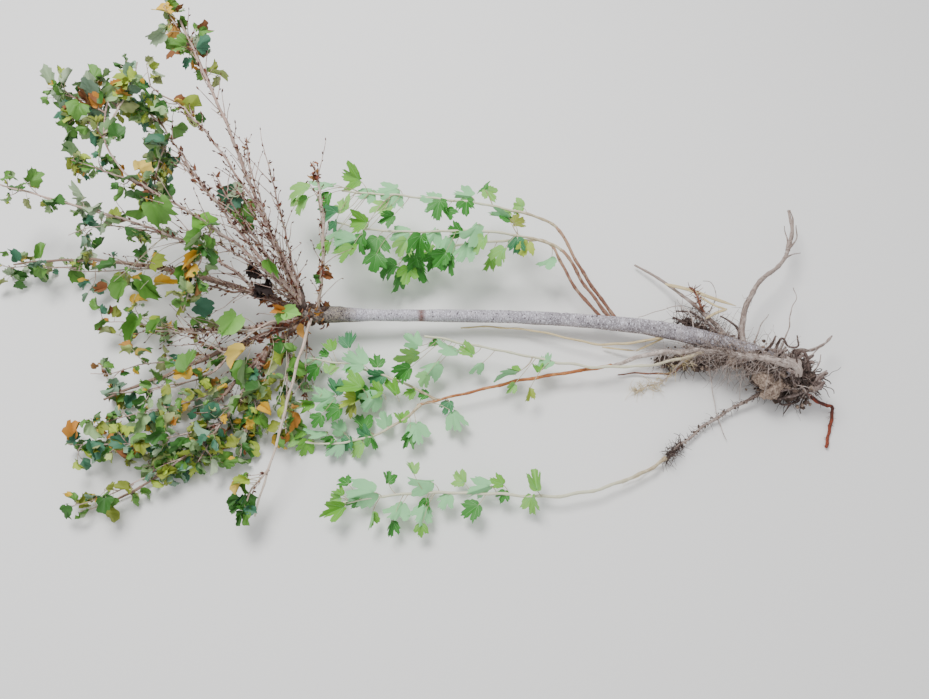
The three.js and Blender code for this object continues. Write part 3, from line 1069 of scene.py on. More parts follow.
@dataclass
class Stem:
    """The bare grey stem, from its flare at the root crown to its swelling at the graft."""

    foot: Triple = (0.698, -0.081, 0.062)
    heading: float = 151.0
    climb: float = -4.0
    run: Run = ((0.300, 23, 1), (0.300, 9, 6), (0.300, 1, 2))
    marks: tuple[float, ...] = (0.0, 0.060, 0.160, 0.420, 0.780, 0.825, 0.870, 0.900)
    thickness: tuple[float, ...] = (0.048, 0.038, 0.032, 0.025, 0.0225, 0.027, 0.030, 0.028)
    rings: int = 420
    sides: int = 48
    ridges: int = 3                             # of the flare
    flare: Pair = (0.16, 0.06)                  # their height in radii, and how far up they fade
    flare_turn: float = 0.6
    lumps: Layers = ((3, 0.07, 0.03), (4, 0.035, 0.009))
    ribs: Layers = ((5, 0.03, 0.0035),)
    rib_stretch: Scale = (1, 1, 0.18)
    graft: Triple = (0.848, 0.014, 0.10)        # place, half width and height of its swelling
    graft_turn: float = 1.8
    scar_ring: float = 0.34         # height in half widths
    scar_hollow: float = 0.9        # depth, as a share of the ring's height
    scar_core: float = 2.4          # how much narrower the hollow is than the ring
    scars: tuple[Triple, ...] = (   # distance, degrees round the stem, half width
        (0.775, 95, 0.0060), (0.655, 40, 0.0045), (0.520, 120, 0.0050), (0.415, 10, 0.0040),
        (0.330, 75, 0.0055), (0.235, 130, 0.0050), (0.835, 60, 0.0075), (0.862, 130, 0.0065))
    path: Path = field(init=False)

    def __post_init__(self) -> None:
        """Lays out the middle line."""
        self.path = Path(walk(np.array(self.foot), self.heading, self.climb, self.run))

    def radii(self, distance: Array, turn: Array) -> Array:
        """The bark's radius at each distance along the stem and angle round it.

        Half the thickness there, times one plus three ridges that fade up from the foot, plus broad
        lumps, lengthwise ribs, and a raised ring with a sunken middle for each branch scar.

        Args:
            distance: metres from the foot.
            turn: radians round the stem.

        Returns:
            (distances, turns) radii.
        """
        base = np.interp(distance, self.marks, self.thickness)[:, None] / 2
        place = straightened(base[:, 0], turn, distance)
        height, fade = self.flare
        flare = height * np.exp(-distance / fade)[:, None] * np.cos(self.ridges * turn + self.flare_turn)
        lumps = uneven(place, self.lumps)
        ribs = uneven(place * self.rib_stretch, self.ribs)
        mark, width, height = self.graft
        bump = height * np.exp(-((distance - mark) / width) ** 2)[:, None]
        swelling = bump * (1 + np.cos(turn - self.graft_turn))
        radius = base * (1 + flare + lumps + ribs + swelling)
        for mark, degrees, width in self.scars:
            around = (turn - math.radians(degrees) + math.pi) % (2 * math.pi) - math.pi
            away = np.hypot(distance[:, None] - mark, around * base) / width
            hollow = self.scar_hollow * np.exp(-(self.scar_core * away) ** 2)
            radius = radius + self.scar_ring * width * (np.exp(-away ** 2) - hollow)
        return radius

    def build(self) -> bpy.types.Object:
        """Makes the stem, whose grain is measured from its middle line.

        Returns:
            The piece.
        """
        distance = np.linspace(0, self.path.length, self.rings)
        turn = round_turn(self.sides)
        line = self.path.at(distance)[None]
        surface = skin_over(line, self.radii(distance, turn)[None], self.sides)
        surface.grain[:, :2] -= surface.grain[-1, :2]
        return surface.clad("stem", Skin.STEM, ("trunk",))


def smoothed(points: Array, step: float = 0.003) -> Array:
    """A curve that passes through every point, in pieces about a step long.

    Between a start and an end it is half of the sum of four terms: twice the start; t times the slope,
    which is the end less the point before; t squared times the bend; and t cubed times the twist.

    Args:
        points: what the curve passes through.
        step: about how far apart its points are.

    Returns:
        The points of the curve.
    """
    ends = np.concatenate([[2 * points[0] - points[1]], points, [2 * points[-1] - points[-2]]])
    found = []
    for before, start, end, after in zip(ends[:-3], ends[1:-2], ends[2:-1], ends[3:], strict=True):
        count = max(2, math.ceil(float(np.linalg.norm(end - start)) / step))
        t = (np.arange(count) / count)[:, None]
        bend = 2 * before - 5 * start + 4 * end - after
        twist = 3 * start - before - 3 * end + after
        found.append(0.5 * (2 * start + (end - before) * t + bend * t ** 2 + twist * t ** 3))
    return np.concatenate(found + [points[-1:]])


@dataclass(frozen=True)
class Route:
    """A fine limb by the bends that the photo shows: u and v in its pixels, and z in metres."""

    name: str
    on: str
    seen: tuple[Triple, ...]
    thick: Pair = (0.0042, 0.0020)      # at foot and tip
    skin: Skin = Skin.CANE
    knots: float = 0.02                 # spacing of its buds' swellings

    def path(self, plan: Plan) -> Path:
        """The limb's middle line, from the place on what carries it that the photo shows nearest.

        Args:
            plan: the lines that have grown, to which this one is added.

        Returns:
            The middle line.
        """
        points = PHOTO.point(*np.array(self.seen).T)
        carrier = plan.paths[self.on]
        points[0] = carrier.points[seen_at(carrier, *self.seen[0][:2])]
        plan.paths[self.name] = Path(smoothed(points))
        return plan.paths[self.name]


def seen_at(path: Path, u: float, v: float) -> int:
    """The number of the path's point that the photo shows nearest to a pixel."""
    return int(np.linalg.norm(PHOTO.pixels(path.points) - (u, v), axis=1).argmin())


@dataclass
class LimbMaker:
    """Gives the plan's limbs their skins, each one its own piece."""

    plan: Plan
    ring_step: float = 0.0028
    fewest_rings: int = 8
    seed: int = 11
    stout: float = 0.009                 # a thicker foot gives a limb more sides
    sides: tuple[int, int] = (10, 14)    # of a thin and of a stout limb
    collar_fade: float = 1.6             # in thicknesses of the foot
    bulge: float = 0.16                  # height in radii
    bulge_width: float = 0.0035
    lumps: Pair = (0.10, 0.011)          # height in radii, and size
    ribs: Pair = (0.08, 0.0025)
    rib_stretch: Scale = (1, 1, 0.25)
    waver: Pair = (0.0018, 0.035)        # how far the line strays, and over what length
    zigzag: float = 0.0006
    straight: float = 0.03               # length from the foot over which the line begins to stray

    def build(self, limb: Limb) -> bpy.types.Object:
        """Makes one limb."""
        surface = self.surface(self.plan.paths[limb.name], limb.thick, limb.knots, limb.collar)
        return surface.clad(f"{limb.name}_limb", limb.skin, (limb.name,))

    def follow(self, route: Route) -> bpy.types.Object:
        """Makes one limb that the photo shows and the frame leaves out."""
        surface = self.surface(route.path(self.plan), route.thick, route.knots)
        return surface.clad(route.name, route.skin)

    def surface(self, path: Path, thick: Pair, knots: float, collar: float = Limb.collar) -> Surface:
        """A tapering limb that wavers a little and swells at each bud.

        Its radius goes evenly from foot to tip, times one plus a collar that fades from the foot,
        plus a bulge at every knot, plus noise. Its line steps a little to either side between knots.

        Args:
            path: its middle line.
            thick: its thickness at foot and tip.
            knots: spacing of its buds' swellings.
            collar: how much thicker its foot is.

        Returns:
            The limb's skin.
        """
        self.seed += 1
        sides = self.sides[thick[0] > self.stout]
        distance = np.linspace(0, path.length, max(self.fewest_rings, int(path.length / self.ring_step)))
        share = distance / path.length
        turn = round_turn(sides)
        base = np.interp(share, [0, 1], thick) / 2
        collar = collar * np.exp(-distance / (self.collar_fade * thick[0]))
        phase = distance / knots
        bulge = self.bulge * np.exp(-((phase - np.round(phase)) * knots / self.bulge_width) ** 2)
        place = straightened(base, turn, distance)
        lumps = (uneven(place, ((self.seed, *self.lumps),))
                 + uneven(place * self.rib_stretch, ((self.seed, *self.ribs),)))
        radius = base[:, None] * (1 + (collar + bulge)[:, None] + lumps)
        side, over = path.across(distance)
        none, level = np.zeros_like(distance), np.full_like(distance, 0.5)
        waver = ((self.seed, *self.waver),)
        wander = uneven(np.stack([distance, none, level], -1), waver)
        sway = uneven(np.stack([none, distance, level], -1), waver)
        fade = np.minimum(distance / self.straight, 1)
        zigzag = self.zigzag * np.cos(np.pi * phase)
        line = path.at(distance) + ((wander + zigzag) * fade)[:, None] * side + (sway * fade)[:, None] * over
        return skin_over(line[None], radius[None], sides, seed=self.seed)


@dataclass(frozen=True)
class LeafShape:
    """A leaf's outline, from its tip round one half to its stalk, and the rings that it is woven on."""

    half: tuple[Pair, ...]      # degrees from the midrib, share of the blade's length
    rings: tuple[float, ...]    # shares of the way from the stalk to the edge
    veins: tuple[int, ...]      # numbers of the outline's points that a vein runs to
    thickness: float = 0.0004
    vein_thickness: float = 0.0010
    pale_veins: bool = True


CROWN_LEAF = LeafShape(
    half=((0, 1.00), (9, 0.92), (15, 0.82), (23, 0.85), (33, 0.76), (42, 0.63), (52, 0.62), (64, 0.53),
          (78, 0.45), (96, 0.37), (120, 0.26), (156, 0.13)),
    rings=(0.5, 1.0), veins=())
BROAD_LEAF = LeafShape(
    half=((0, 1.00), (6, 0.95), (11, 0.90), (16, 0.91), (22, 0.85), (28, 0.77), (34, 0.78), (41, 0.79),
          (48, 0.74), (55, 0.67), (63, 0.66), (72, 0.60), (83, 0.52), (96, 0.44), (118, 0.33), (150, 0.16)),
    rings=(0.28, 0.62, 1.0), veins=(0, 7, 10), vein_thickness=0.0007, pale_veins=False)
SUCKER_LEAF = LeafShape(
    half=((0, 1.00), (5, 0.93), (9, 0.95), (13, 0.86), (17, 0.88), (20, 0.72), (24, 0.54), (29, 0.68),
          (34, 0.78), (38, 0.80), (43, 0.88), (48, 0.78), (53, 0.76), (58, 0.64), (65, 0.62), (72, 0.50),
          (82, 0.42), (96, 0.34), (116, 0.25), (150, 0.12)),
    rings=(0.28, 0.62, 1.0), veins=(0, 10, 14))
SCALE_LEAF = LeafShape(
    half=((0, 1.00), (9, 0.78), (20, 0.50), (42, 0.30), (90, 0.20), (150, 0.12)), rings=(0.5, 1.0), veins=())


@dataclass
class Leaves:
    """Leaves as arrays, one row for each leaf."""

    base: Array        # (n, 3) where the stalk meets the blade
    forward: Array     # (n, 3) the way from the stalk to the tip
    up: Array          # (n, 3) the way that the upper face looks
    length: Array      # (n,)
    fold: Array        # (n,) radians that each half is lifted by
    curl: Array        # (n,) radians that the blade droops by over its length
    tint: Array        # (n,) number of its Tint
    margin: Array      # (n,) number of the Tint that its edge has turned, on one side

    @staticmethod
    def join(groups: list["Leaves"]) -> "Leaves":
        """All the groups as one."""
        names = ("base", "forward", "up", "length", "fold", "curl", "tint", "margin")
        return Leaves(*[np.concatenate([getattr(group, name) for group in groups]) for name in names])


TINTS = list(Tint)
DRY_TINTS = [TINTS.index(tint) for tint in (Tint.SCALE, Tint.RUST, Tint.ORANGE)]


@dataclass
class LeafMaker:
    """Weaves many leaves of one shape at once."""

    shape: LeafShape
    rng: np.random.Generator
    ruffle: float                     # height of the waves at the edge, in lengths of the blade
    crumple: float                    # and of the random dents
    ragged: float = 0.07              # how much a point of the outline strays
    lopsided: float = 0.25            # how much the folds of the two halves differ
    waves: Pair = (2.2, 4.0)          # of the ruffle, to a radian
    cross_curl: float = 0.5           # of the curl, how much goes across the blade
    turned_from: Pair = (-0.5, 0.9)   # where the part of the edge with the margin's tint starts
    turned_for: Pair = (0.25, 0.7)    # and how far it goes, as shares of the edge
    vein_taper: Pair = (0.5, 0.2)     # radius at both ends, as shares of the vein's thickness
    vein_end: float = 0.7             # how far a vein goes on from the last ring but one to the edge

    def build(self, leaves: Leaves, name: str, slot: str, stands_for: tuple[str, ...]) -> bpy.types.Object:
        """Makes a piece of all the leaves, with only the materials that they use.

        Args:
            leaves: where and how they hang, with their tints.
            name: the piece's name.
            slot: the record's material slot.
            stands_for: the CAD nodes that it replaces.

        Returns:
            The piece.
        """
        used = sorted(set(leaves.tint.tolist() + leaves.margin.tolist()))
        materials = [FINISHES.leaf(TINTS[t], under) for t in used for under in (False, True)]
        number, margin = (np.searchsorted(used, tints) for tints in (leaves.tint, leaves.margin))
        return self.surface(leaves, number, margin).piece(name, materials, slot, stands_for)

    def surface(self, leaves: Leaves, number: Array, margin: Array) -> Surface:
        """The leaves' faces.

        A blade's point is share * outline(angle) from the stalk, at that angle from the midrib. Each
        half is turned up by the fold, ruffled by waves that grow towards the edge, and the whole is
        bent round a level axis by the curl. The under face lies the thickness below the upper one
        and shares its edge.

        Args:
            leaves: where and how they hang.
            number: each leaf's tint among the ones in use.
            margin: the tint of a part of its edge.

        Returns:
            The blades with their veins.
        """
        half = np.array(self.shape.half)
        angle = np.radians(np.concatenate([-half[:0:-1, 0], half[:, 0]]))
        reach = np.concatenate([half[:0:-1, 1], half[:, 1]])
        rings = np.array(self.shape.rings)
        count, spokes, layers = len(leaves.length), len(angle), len(rings)
        size = leaves.length[:, None, None]
        share = rings[None, :, None]
        stray = 1 + self.ragged * self.rng.standard_normal((count, 1, spokes))
        x = size * share * reach * stray * np.sin(angle)
        y = size * share * reach * stray * np.cos(angle)
        gap = self.lopsided * self.rng.standard_normal((count, 1, 1))
        fold = leaves.fold[:, None, None] * (1 + gap * np.sign(x))
        phase = self.rng.uniform(0, 2 * np.pi, (count, 1, 1))
        waves = self.rng.uniform(*self.waves, (count, 1, 1))
        lift = self.ruffle * size * share ** 2 * np.sin(waves * angle + phase)
        lift = lift + self.crumple * size * self.rng.uniform(-1, 1, (count, layers, spokes)) * share
        lift = lift - self.cross_curl * leaves.curl[:, None, None] * x ** 2 / size
        level = x * np.cos(fold) - np.sign(x) * lift * np.sin(fold)
        height = np.abs(x) * np.sin(fold) + lift * np.cos(fold)
        bend = leaves.curl[:, None, None] * y / size
        bend = np.where(np.abs(bend) < TINY, TINY, bend)
        ahead = y * np.sin(bend) / bend + height * np.sin(bend)
        above = -y * (1 - np.cos(bend)) / bend + height * np.cos(bend)
        normal = np.stack([-np.sign(x) * np.sin(fold) * np.ones_like(bend), np.cos(fold) * np.sin(bend),
                           np.cos(fold) * np.cos(bend)], axis=-1)
        local = np.stack([level, ahead, above], axis=-1)
        forward = unit(leaves.forward)
        across = unit(np.cross(forward, leaves.up))
        axes = np.stack([across, forward, np.cross(across, forward)], axis=1)
        top = np.einsum("nlsi,nij->nlsj", local, axes) + leaves.base[:, None, None, :]
        down = np.einsum("nlsi,nij->nlsj", normal, axes) * -self.shape.thickness
        under = top[:, :-1, 1:-1] + down[:, :-1, 1:-1]
        sheets = [sheet.reshape(count, -1, 3) for sheet in (top, under)]
        points = np.concatenate([leaves.base[:, None], *sheets], axis=1)
        upper = 1 + np.arange(layers * spokes).reshape(layers, spokes)
        lower = upper.copy()
        inner = np.arange((layers - 1) * (spokes - 2)).reshape(layers - 1, -1)
        lower[:-1, 1:-1] = 1 + layers * spokes + inner
        faces = np.concatenate([self._sheet(upper, True), self._sheet(lower, False)])
        every = faces[None] + np.arange(count)[:, None, None] * points.shape[1]
        every = np.where(faces[None] < 0, -1, every).reshape(-1, 4)
        side = (np.arange(len(faces)) >= len(faces) // 2).astype(int)
        spoke = np.arange(len(faces)) % (spokes - 1)
        outer = np.arange(len(faces)) % (len(faces) // 2) >= (layers - 1) * (spokes - 1)
        first = self.rng.uniform(*self.turned_from, count)[:, None] * spokes
        last = first + self.rng.uniform(*self.turned_for, count)[:, None] * spokes
        turned = outer & (spoke > first) & (spoke < last)
        tones = (2 * np.where(turned, margin[:, None], number[:, None]) + side).reshape(-1)
        blades = Surface(points.reshape(-1, 3), every, points.reshape(-1, 3).copy(), tones)
        return Surface.join([blades] + self._veins(top, leaves, number))

    @staticmethod
    def _sheet(grid: Array, upper: bool) -> Array:
        """One face of a leaf: three-sided faces round the stalk, and four-sided ones out to the edge.

        The under face folds along the same diagonals as the upper one, so that neither pokes through.

        Args:
            grid: the numbers of the face's points, a row for each ring.
            upper: whether it is the upper face.

        Returns:
            The faces.
        """
        stalk = np.zeros(grid.shape[1] - 1, int)
        first = np.stack([stalk, grid[0, 1:], grid[0, :-1], stalk - 1], axis=-1)
        rest = np.stack([grid[:-1, 1:], grid[1:, 1:], grid[1:, :-1], grid[:-1, :-1]], axis=-1).reshape(-1, 4)
        if upper:
            return np.concatenate([first, rest])
        return np.concatenate([first[:, [0, 2, 1, 3]], rest[:, [0, 3, 2, 1]]])

    def _veins(self, top: Array, leaves: Leaves, number: Array) -> list[Surface]:
        """Thin ribs from the stalk to the lobes, which stand out on both faces.

        Args:
            top: (leaves, rings, spokes, 3) places of the upper faces.
            leaves: the leaves.
            number: each leaf's tint among the ones in use.

        Returns:
            A surface for each vein of the outline.
        """
        found = []
        middle = len(self.shape.half) - 1
        for vein in self.shape.veins:
            for spoke in {middle + vein, middle - vein}:
                edge = top[:, :, spoke]
                near_edge = (1 - self.vein_end) * edge[:, -2:-1] + self.vein_end * edge[:, -1:]
                line = np.concatenate([leaves.base[:, None], edge[:, :-1], near_edge], axis=1)
                taper = np.linspace(*self.vein_taper, line.shape[1])
                radius = taper[None, :, None] * self.shape.vein_thickness
                found.append(skin_over(line, radius, sides=3, tone=2 * number + int(self.shape.pale_veins)))
        return found


@dataclass
class Twigs:
    """Fine twigs or stalks as arrays, gathered until they are made one piece."""

    skin: Skin
    sides: int
    made: list[Surface] = field(default_factory=list)

    def add(self, lines: Array, foot: float, tip: float) -> None:
        """Adds twigs that taper evenly from one radius to another."""
        radius = np.linspace(foot, tip, lines.shape[1])[None, :, None]
        self.made.append(skin_over(lines, radius, self.sides, seed=len(self.made)))

    def build(self, name: str) -> bpy.types.Object:
        """Makes the piece."""
        return Surface.join(self.made).clad(name, self.skin)


def bowed(start: Array, middle: Array, end: Array, points: int) -> Array:
    """Lines that leave each start towards its middle point and reach its end.

    At a share t of the way a line is at (1-t)^2 start + 2t(1-t) middle + t^2 end.

    Args:
        start: (lines, 3) where they start.
        middle: (lines, 3) what they bend towards.
        end: (lines, 3) where they end.
        points: how many points each has.

    Returns:
        (lines, points, 3) places.
    """
    share = np.linspace(0, 1, points)[None, :, None]
    return ((1 - share) ** 2 * start[:, None] + 2 * share * (1 - share) * middle[:, None]
            + share ** 2 * end[:, None])


def straight(start: Array, reach: Array, points: int) -> Array:
    """Straight lines from each start to the end of its reach."""
    return bowed(start, start + reach / 2, start + reach, points)


GREENS = ((Tint.GREEN, 0.40), (Tint.DEEP, 0.22), (Tint.SEA, 0.12), (Tint.OLIVE, 0.14), (Tint.LIME, 0.07),
          (Tint.FADED, 0.05))
AUTUMN = ((Tint.YELLOW, 0.34), (Tint.ORANGE, 0.28), (Tint.RUST, 0.24), (Tint.LIME, 0.14))


def dealt(rng: np.random.Generator, count: int, autumn: float) -> Array:
    """Deals a tint to each of so many twigs, with the given share of autumn ones.

    Args:
        rng: deals them.
        count: how many twigs there are.
        autumn: share of autumn tints.

    Returns:
        The tints' numbers.
    """
    cards = [(tint, share * (1 - autumn)) for tint, share in GREENS]
    cards += [(tint, share * autumn) for tint, share in AUTUMN]
    numbers = [TINTS.index(tint) for tint, _ in cards]
    shares = np.array([share for _, share in cards])
    return rng.choice(numbers, count, p=shares / shares.sum())


@dataclass
class SprayMaker:
    """Grows the crown's leafy twigs along each spray's spine by a seeded branching rule."""

    plan: Plan
    rng: np.random.Generator
    twigs: Twigs
    stalks: Twigs
    twig_step: float = 0.0085
    fullness: float = 0.5              # power of the egg profile that the twigs fill
    leaf: Pair = (0.015, 0.034)
    cupped: float = 0.6                # share of the leaves that fold upwards
    stalk: Pair = (0.006, 0.017)
    places: tuple[float, ...] = (0.25, 0.5, 0.75, 1.0, 1.0)   # of the leaves, along a twig
    leafy: float = 0.86                # share of the places that still bear a leaf
    turning: float = 1.6               # leaves with a turned edge, as a multiple of the autumn share
    stray: float = 0.6                 # share of the leaves with a tint of their own
    small: float = 1.4                 # over 1 makes more of the leaves small
    ruffle: float = 0.13
    crumple: float = 0.10
    axis_taper: Pair = (0.0018, 0.0007)      # radius at foot and tip
    side_taper: Pair = (0.0011, 0.0005)
    stalk_taper: Pair = (0.0005, 0.0004)
    axis_end: float = 0.96             # share of the spine that the axis reaches
    axis_rings: int = 26
    crooks: int = 6
    crook: float = 0.003
    crook_from: float = 0.03           # length from the foot over which the axis becomes crooked
    first_leaf: float = 0.12           # share of the axis that bears none
    fewest: int = 6                    # side twigs
    jitter: Pair = (0.1, 0.9)          # of the even spacing of the side twigs
    twigs_along: Pair = (0.02, 0.93)   # where the side twigs start, and the share of the spine that they fill
    roll: float = 0.35                 # radians that they stray from the golden angle
    leaf_room: float = 0.016           # what the leaves at a twig's end take up
    least_room: float = 0.25
    part: Pair = (0.55, 1.0)           # how much of its room a twig reaches through
    lean: Pair = (0.25, 0.9)           # how far ahead it leans, in its own reaches
    lean_fade: Triple = (0.05, 0.2, 1)      # near the end: over what length, least and most
    bow: Pair = (0.45, 0.75)           # the reach and the lean of the middle of a twig
    shake: float = 0.004               # how far that middle strays
    twig_rings: int = 8
    stalk_rings: int = 4
    head: Triple = (0.45, 0.95, 0.2)   # how far a stalk points along its twig, at random and outwards
    stalk_sag: float = 0.25            # how far its end sinks, in its own lengths
    stalk_middle: Pair = (0.5, 0.15)   # how far ahead and up its middle is, in its own lengths
    sway: float = 0.5                  # how far a leaf strays from its stalk's way
    droop: float = 0.35                # and how far it points down
    face: Pair = (0.6, 0.8)            # how far its upper side looks up, and at random
    fold: Pair = (0.75, 0.35)          # mean and spread, in radians
    fold_range: Pair = (0.1, 1.3)
    curl: Pair = (0.9, 0.8)            # mean and spread, in radians

    def build(self, spray: Spray) -> bpy.types.Object:
        """Makes one spray of the plan."""
        return self._foliage(self.plan.grow(spray), spray, spray.name, (spray.name,))

    def clothe(self, cover: Cover) -> bpy.types.Object:
        """Makes the leaves of one fine limb."""
        return self._foliage(self.plan.paths[cover.on], cover, cover.on, ())

    def _foliage(self, path: Path, spray: Leafage, name: str,
                 stands_for: tuple[str, ...]) -> bpy.types.Object:
        """An axis twig, side twigs at golden angles round it, and leaves on both.

        Args:
            path: the spine.
            spray: its sizes, colours and density.
            name: what the piece is named for.
            stands_for: the CAD nodes that it replaces.

        Returns:
            The piece of leaves.
        """
        axis = self._axis(path)
        self.twigs.add(axis, *self.axis_taper)
        sides, outward = self._side_twigs(path, spray)
        self.twigs.add(sides, *self.side_taper)
        tint = dealt(self.rng, len(sides), spray.autumn)
        groups = [self._leaves(sides, outward, tint, share, spray.autumn) for share in self.places]
        own = dealt(self.rng, 1, spray.autumn)
        for share in np.arange(self.first_leaf, 1.0, self.twig_step / spray.density / path.length):
            outward = unit(self.rng.standard_normal((1, 3)))
            groups.append(self._leaves(axis, outward, own, share, spray.autumn))
        maker = LeafMaker(CROWN_LEAF, self.rng, self.ruffle, self.crumple)
        return maker.build(Leaves.join(groups), f"{name}_foliage", "crown_leaves", stands_for)

    def _axis(self, path: Path) -> Array:
        """The spray's own middle twig, a little crooked.

        Args:
            path: the spray's spine.

        Returns:
            (1, rings, 3) places.
        """
        distance = np.linspace(0, path.length * self.axis_end, self.axis_rings)
        line = path.at(distance)
        crook = self.crook * self.rng.standard_normal((self.crooks, 3))
        knots = np.linspace(0, path.length, self.crooks)
        bend = np.stack([np.interp(distance, knots, crook[:, i]) for i in range(3)], axis=-1)
        return (line + bend * np.minimum(distance / self.crook_from, 1)[:, None])[None]

    def _side_twigs(self, path: Path, spray: Leafage) -> tuple[Array, Array]:
        """Side twigs that reach for the egg-shaped bound of the spray.

        The bound's half sizes at a share f of the spine are the spray's own times
        (2 * sqrt(f * (1 - f))) ** fullness. A twig bows outwards and forwards to a random part of it.

        Args:
            path: the spray's spine.
            spray: its sizes and its density.

        Returns:
            The twigs' lines, and each one's way out from the spine.
        """
        count = max(self.fewest, int(path.length / self.twig_step * spray.density))
        first, filled = self.twigs_along
        share = (np.arange(count) + self.rng.uniform(*self.jitter, count)) / count * filled + first
        mark = share * path.length
        roll = np.arange(count) * GOLDEN_ANGLE + self.rng.normal(0, self.roll, count)
        bound = (2 * np.sqrt(share * (1 - share))) ** self.fullness
        side, over = path.across(mark)
        room_wide, room_high = (np.maximum(half * bound - self.leaf_room, self.least_room * half)
                                for half in (spray.wide, spray.high))
        part = self.rng.uniform(*self.part, count)
        level, upright = np.cos(roll) * room_wide * part, np.sin(roll) * room_high * part
        reach = level[:, None] * side + upright[:, None] * over
        length = np.linalg.norm(reach, axis=1)
        ahead = (length * self.rng.uniform(*self.lean, count))[:, None] * path.way(mark)
        near, least, most = self.lean_fade
        ahead = ahead * np.clip((path.length - mark) / near, least, most)[:, None]
        start = path.at(mark)
        shake = self.rng.normal(0, self.shake, (count, 3))
        middle = start + self.bow[0] * reach + self.bow[1] * ahead + shake
        end = start + reach + ahead
        return bowed(start, middle, end, self.twig_rings), unit(reach)

    def _leaves(self, lines: Array, outward: Array, tint: Array, share: float, autumn: float) -> Leaves:
        """A leaf at one share of the way along most of the twigs.

        Args:
            lines: the twigs.
            outward: each twig's way out from its spine.
            tint: each twig's tint number.
            share: how far along the twigs.
            autumn: share of leaves with a tint of their own that turn yellow, orange or rusty.

        Returns:
            The leaves, whose stalks are added too.
        """
        rings = lines.shape[1]
        index = np.clip(round(share * (rings - 1)), 1, rings - 1)
        row = np.nonzero(self.rng.random(len(lines)) < self.leafy)[0]
        node = lines[row, index]
        way = unit(lines[row, index] - lines[row, index - 1])
        fan = unit(self.rng.standard_normal((len(row), 3)))
        head = unit(self.head[0] * way + self.head[1] * fan + self.head[2] * outward[row])
        stalk = self.rng.uniform(*self.stalk, len(row))[:, None]
        base = node + head * stalk - self.stalk_sag * stalk * UP
        middle = node + self.stalk_middle[0] * head * stalk + self.stalk_middle[1] * stalk * UP
        self.stalks.add(bowed(node, middle, base, self.stalk_rings), *self.stalk_taper)
        forward = unit(head + self.sway * self.rng.standard_normal((len(row), 3)) - self.droop * UP)
        up = self.face[0] * UP + self.face[1] * self.rng.standard_normal((len(row), 3))
        strays = self.rng.random(len(row)) < self.stray
        own = np.where(strays, dealt(self.rng, len(row), autumn), tint[row])
        turning = self.rng.random(len(row)) < self.turning * autumn
        margin = np.where(turning, dealt(self.rng, len(row), 1.0), own)
        size = self.leaf[0] + (self.leaf[1] - self.leaf[0]) * self.rng.random(len(row)) ** self.small
        side = np.where(self.rng.random(len(row)) < self.cupped, 1.0, -1.0)
        fold = side * np.clip(self.rng.normal(*self.fold, len(row)), *self.fold_range)
        return Leaves(base, forward, up, size, fold, self.rng.normal(*self.curl, len(row)), own, margin)


@dataclass(frozen=True)
class SeenLeaf:
    """A leaf by the middle of its blade in the photo's pixels, and its compass direction in degrees."""

    u: float
    v: float
    length: float
    turn: float
    tint: Tint
    under: bool = False    # its under face looks up
    rise: float = 0.0      # how far above its stem it is
    shut: bool = False     # folded nearly flat along its midrib


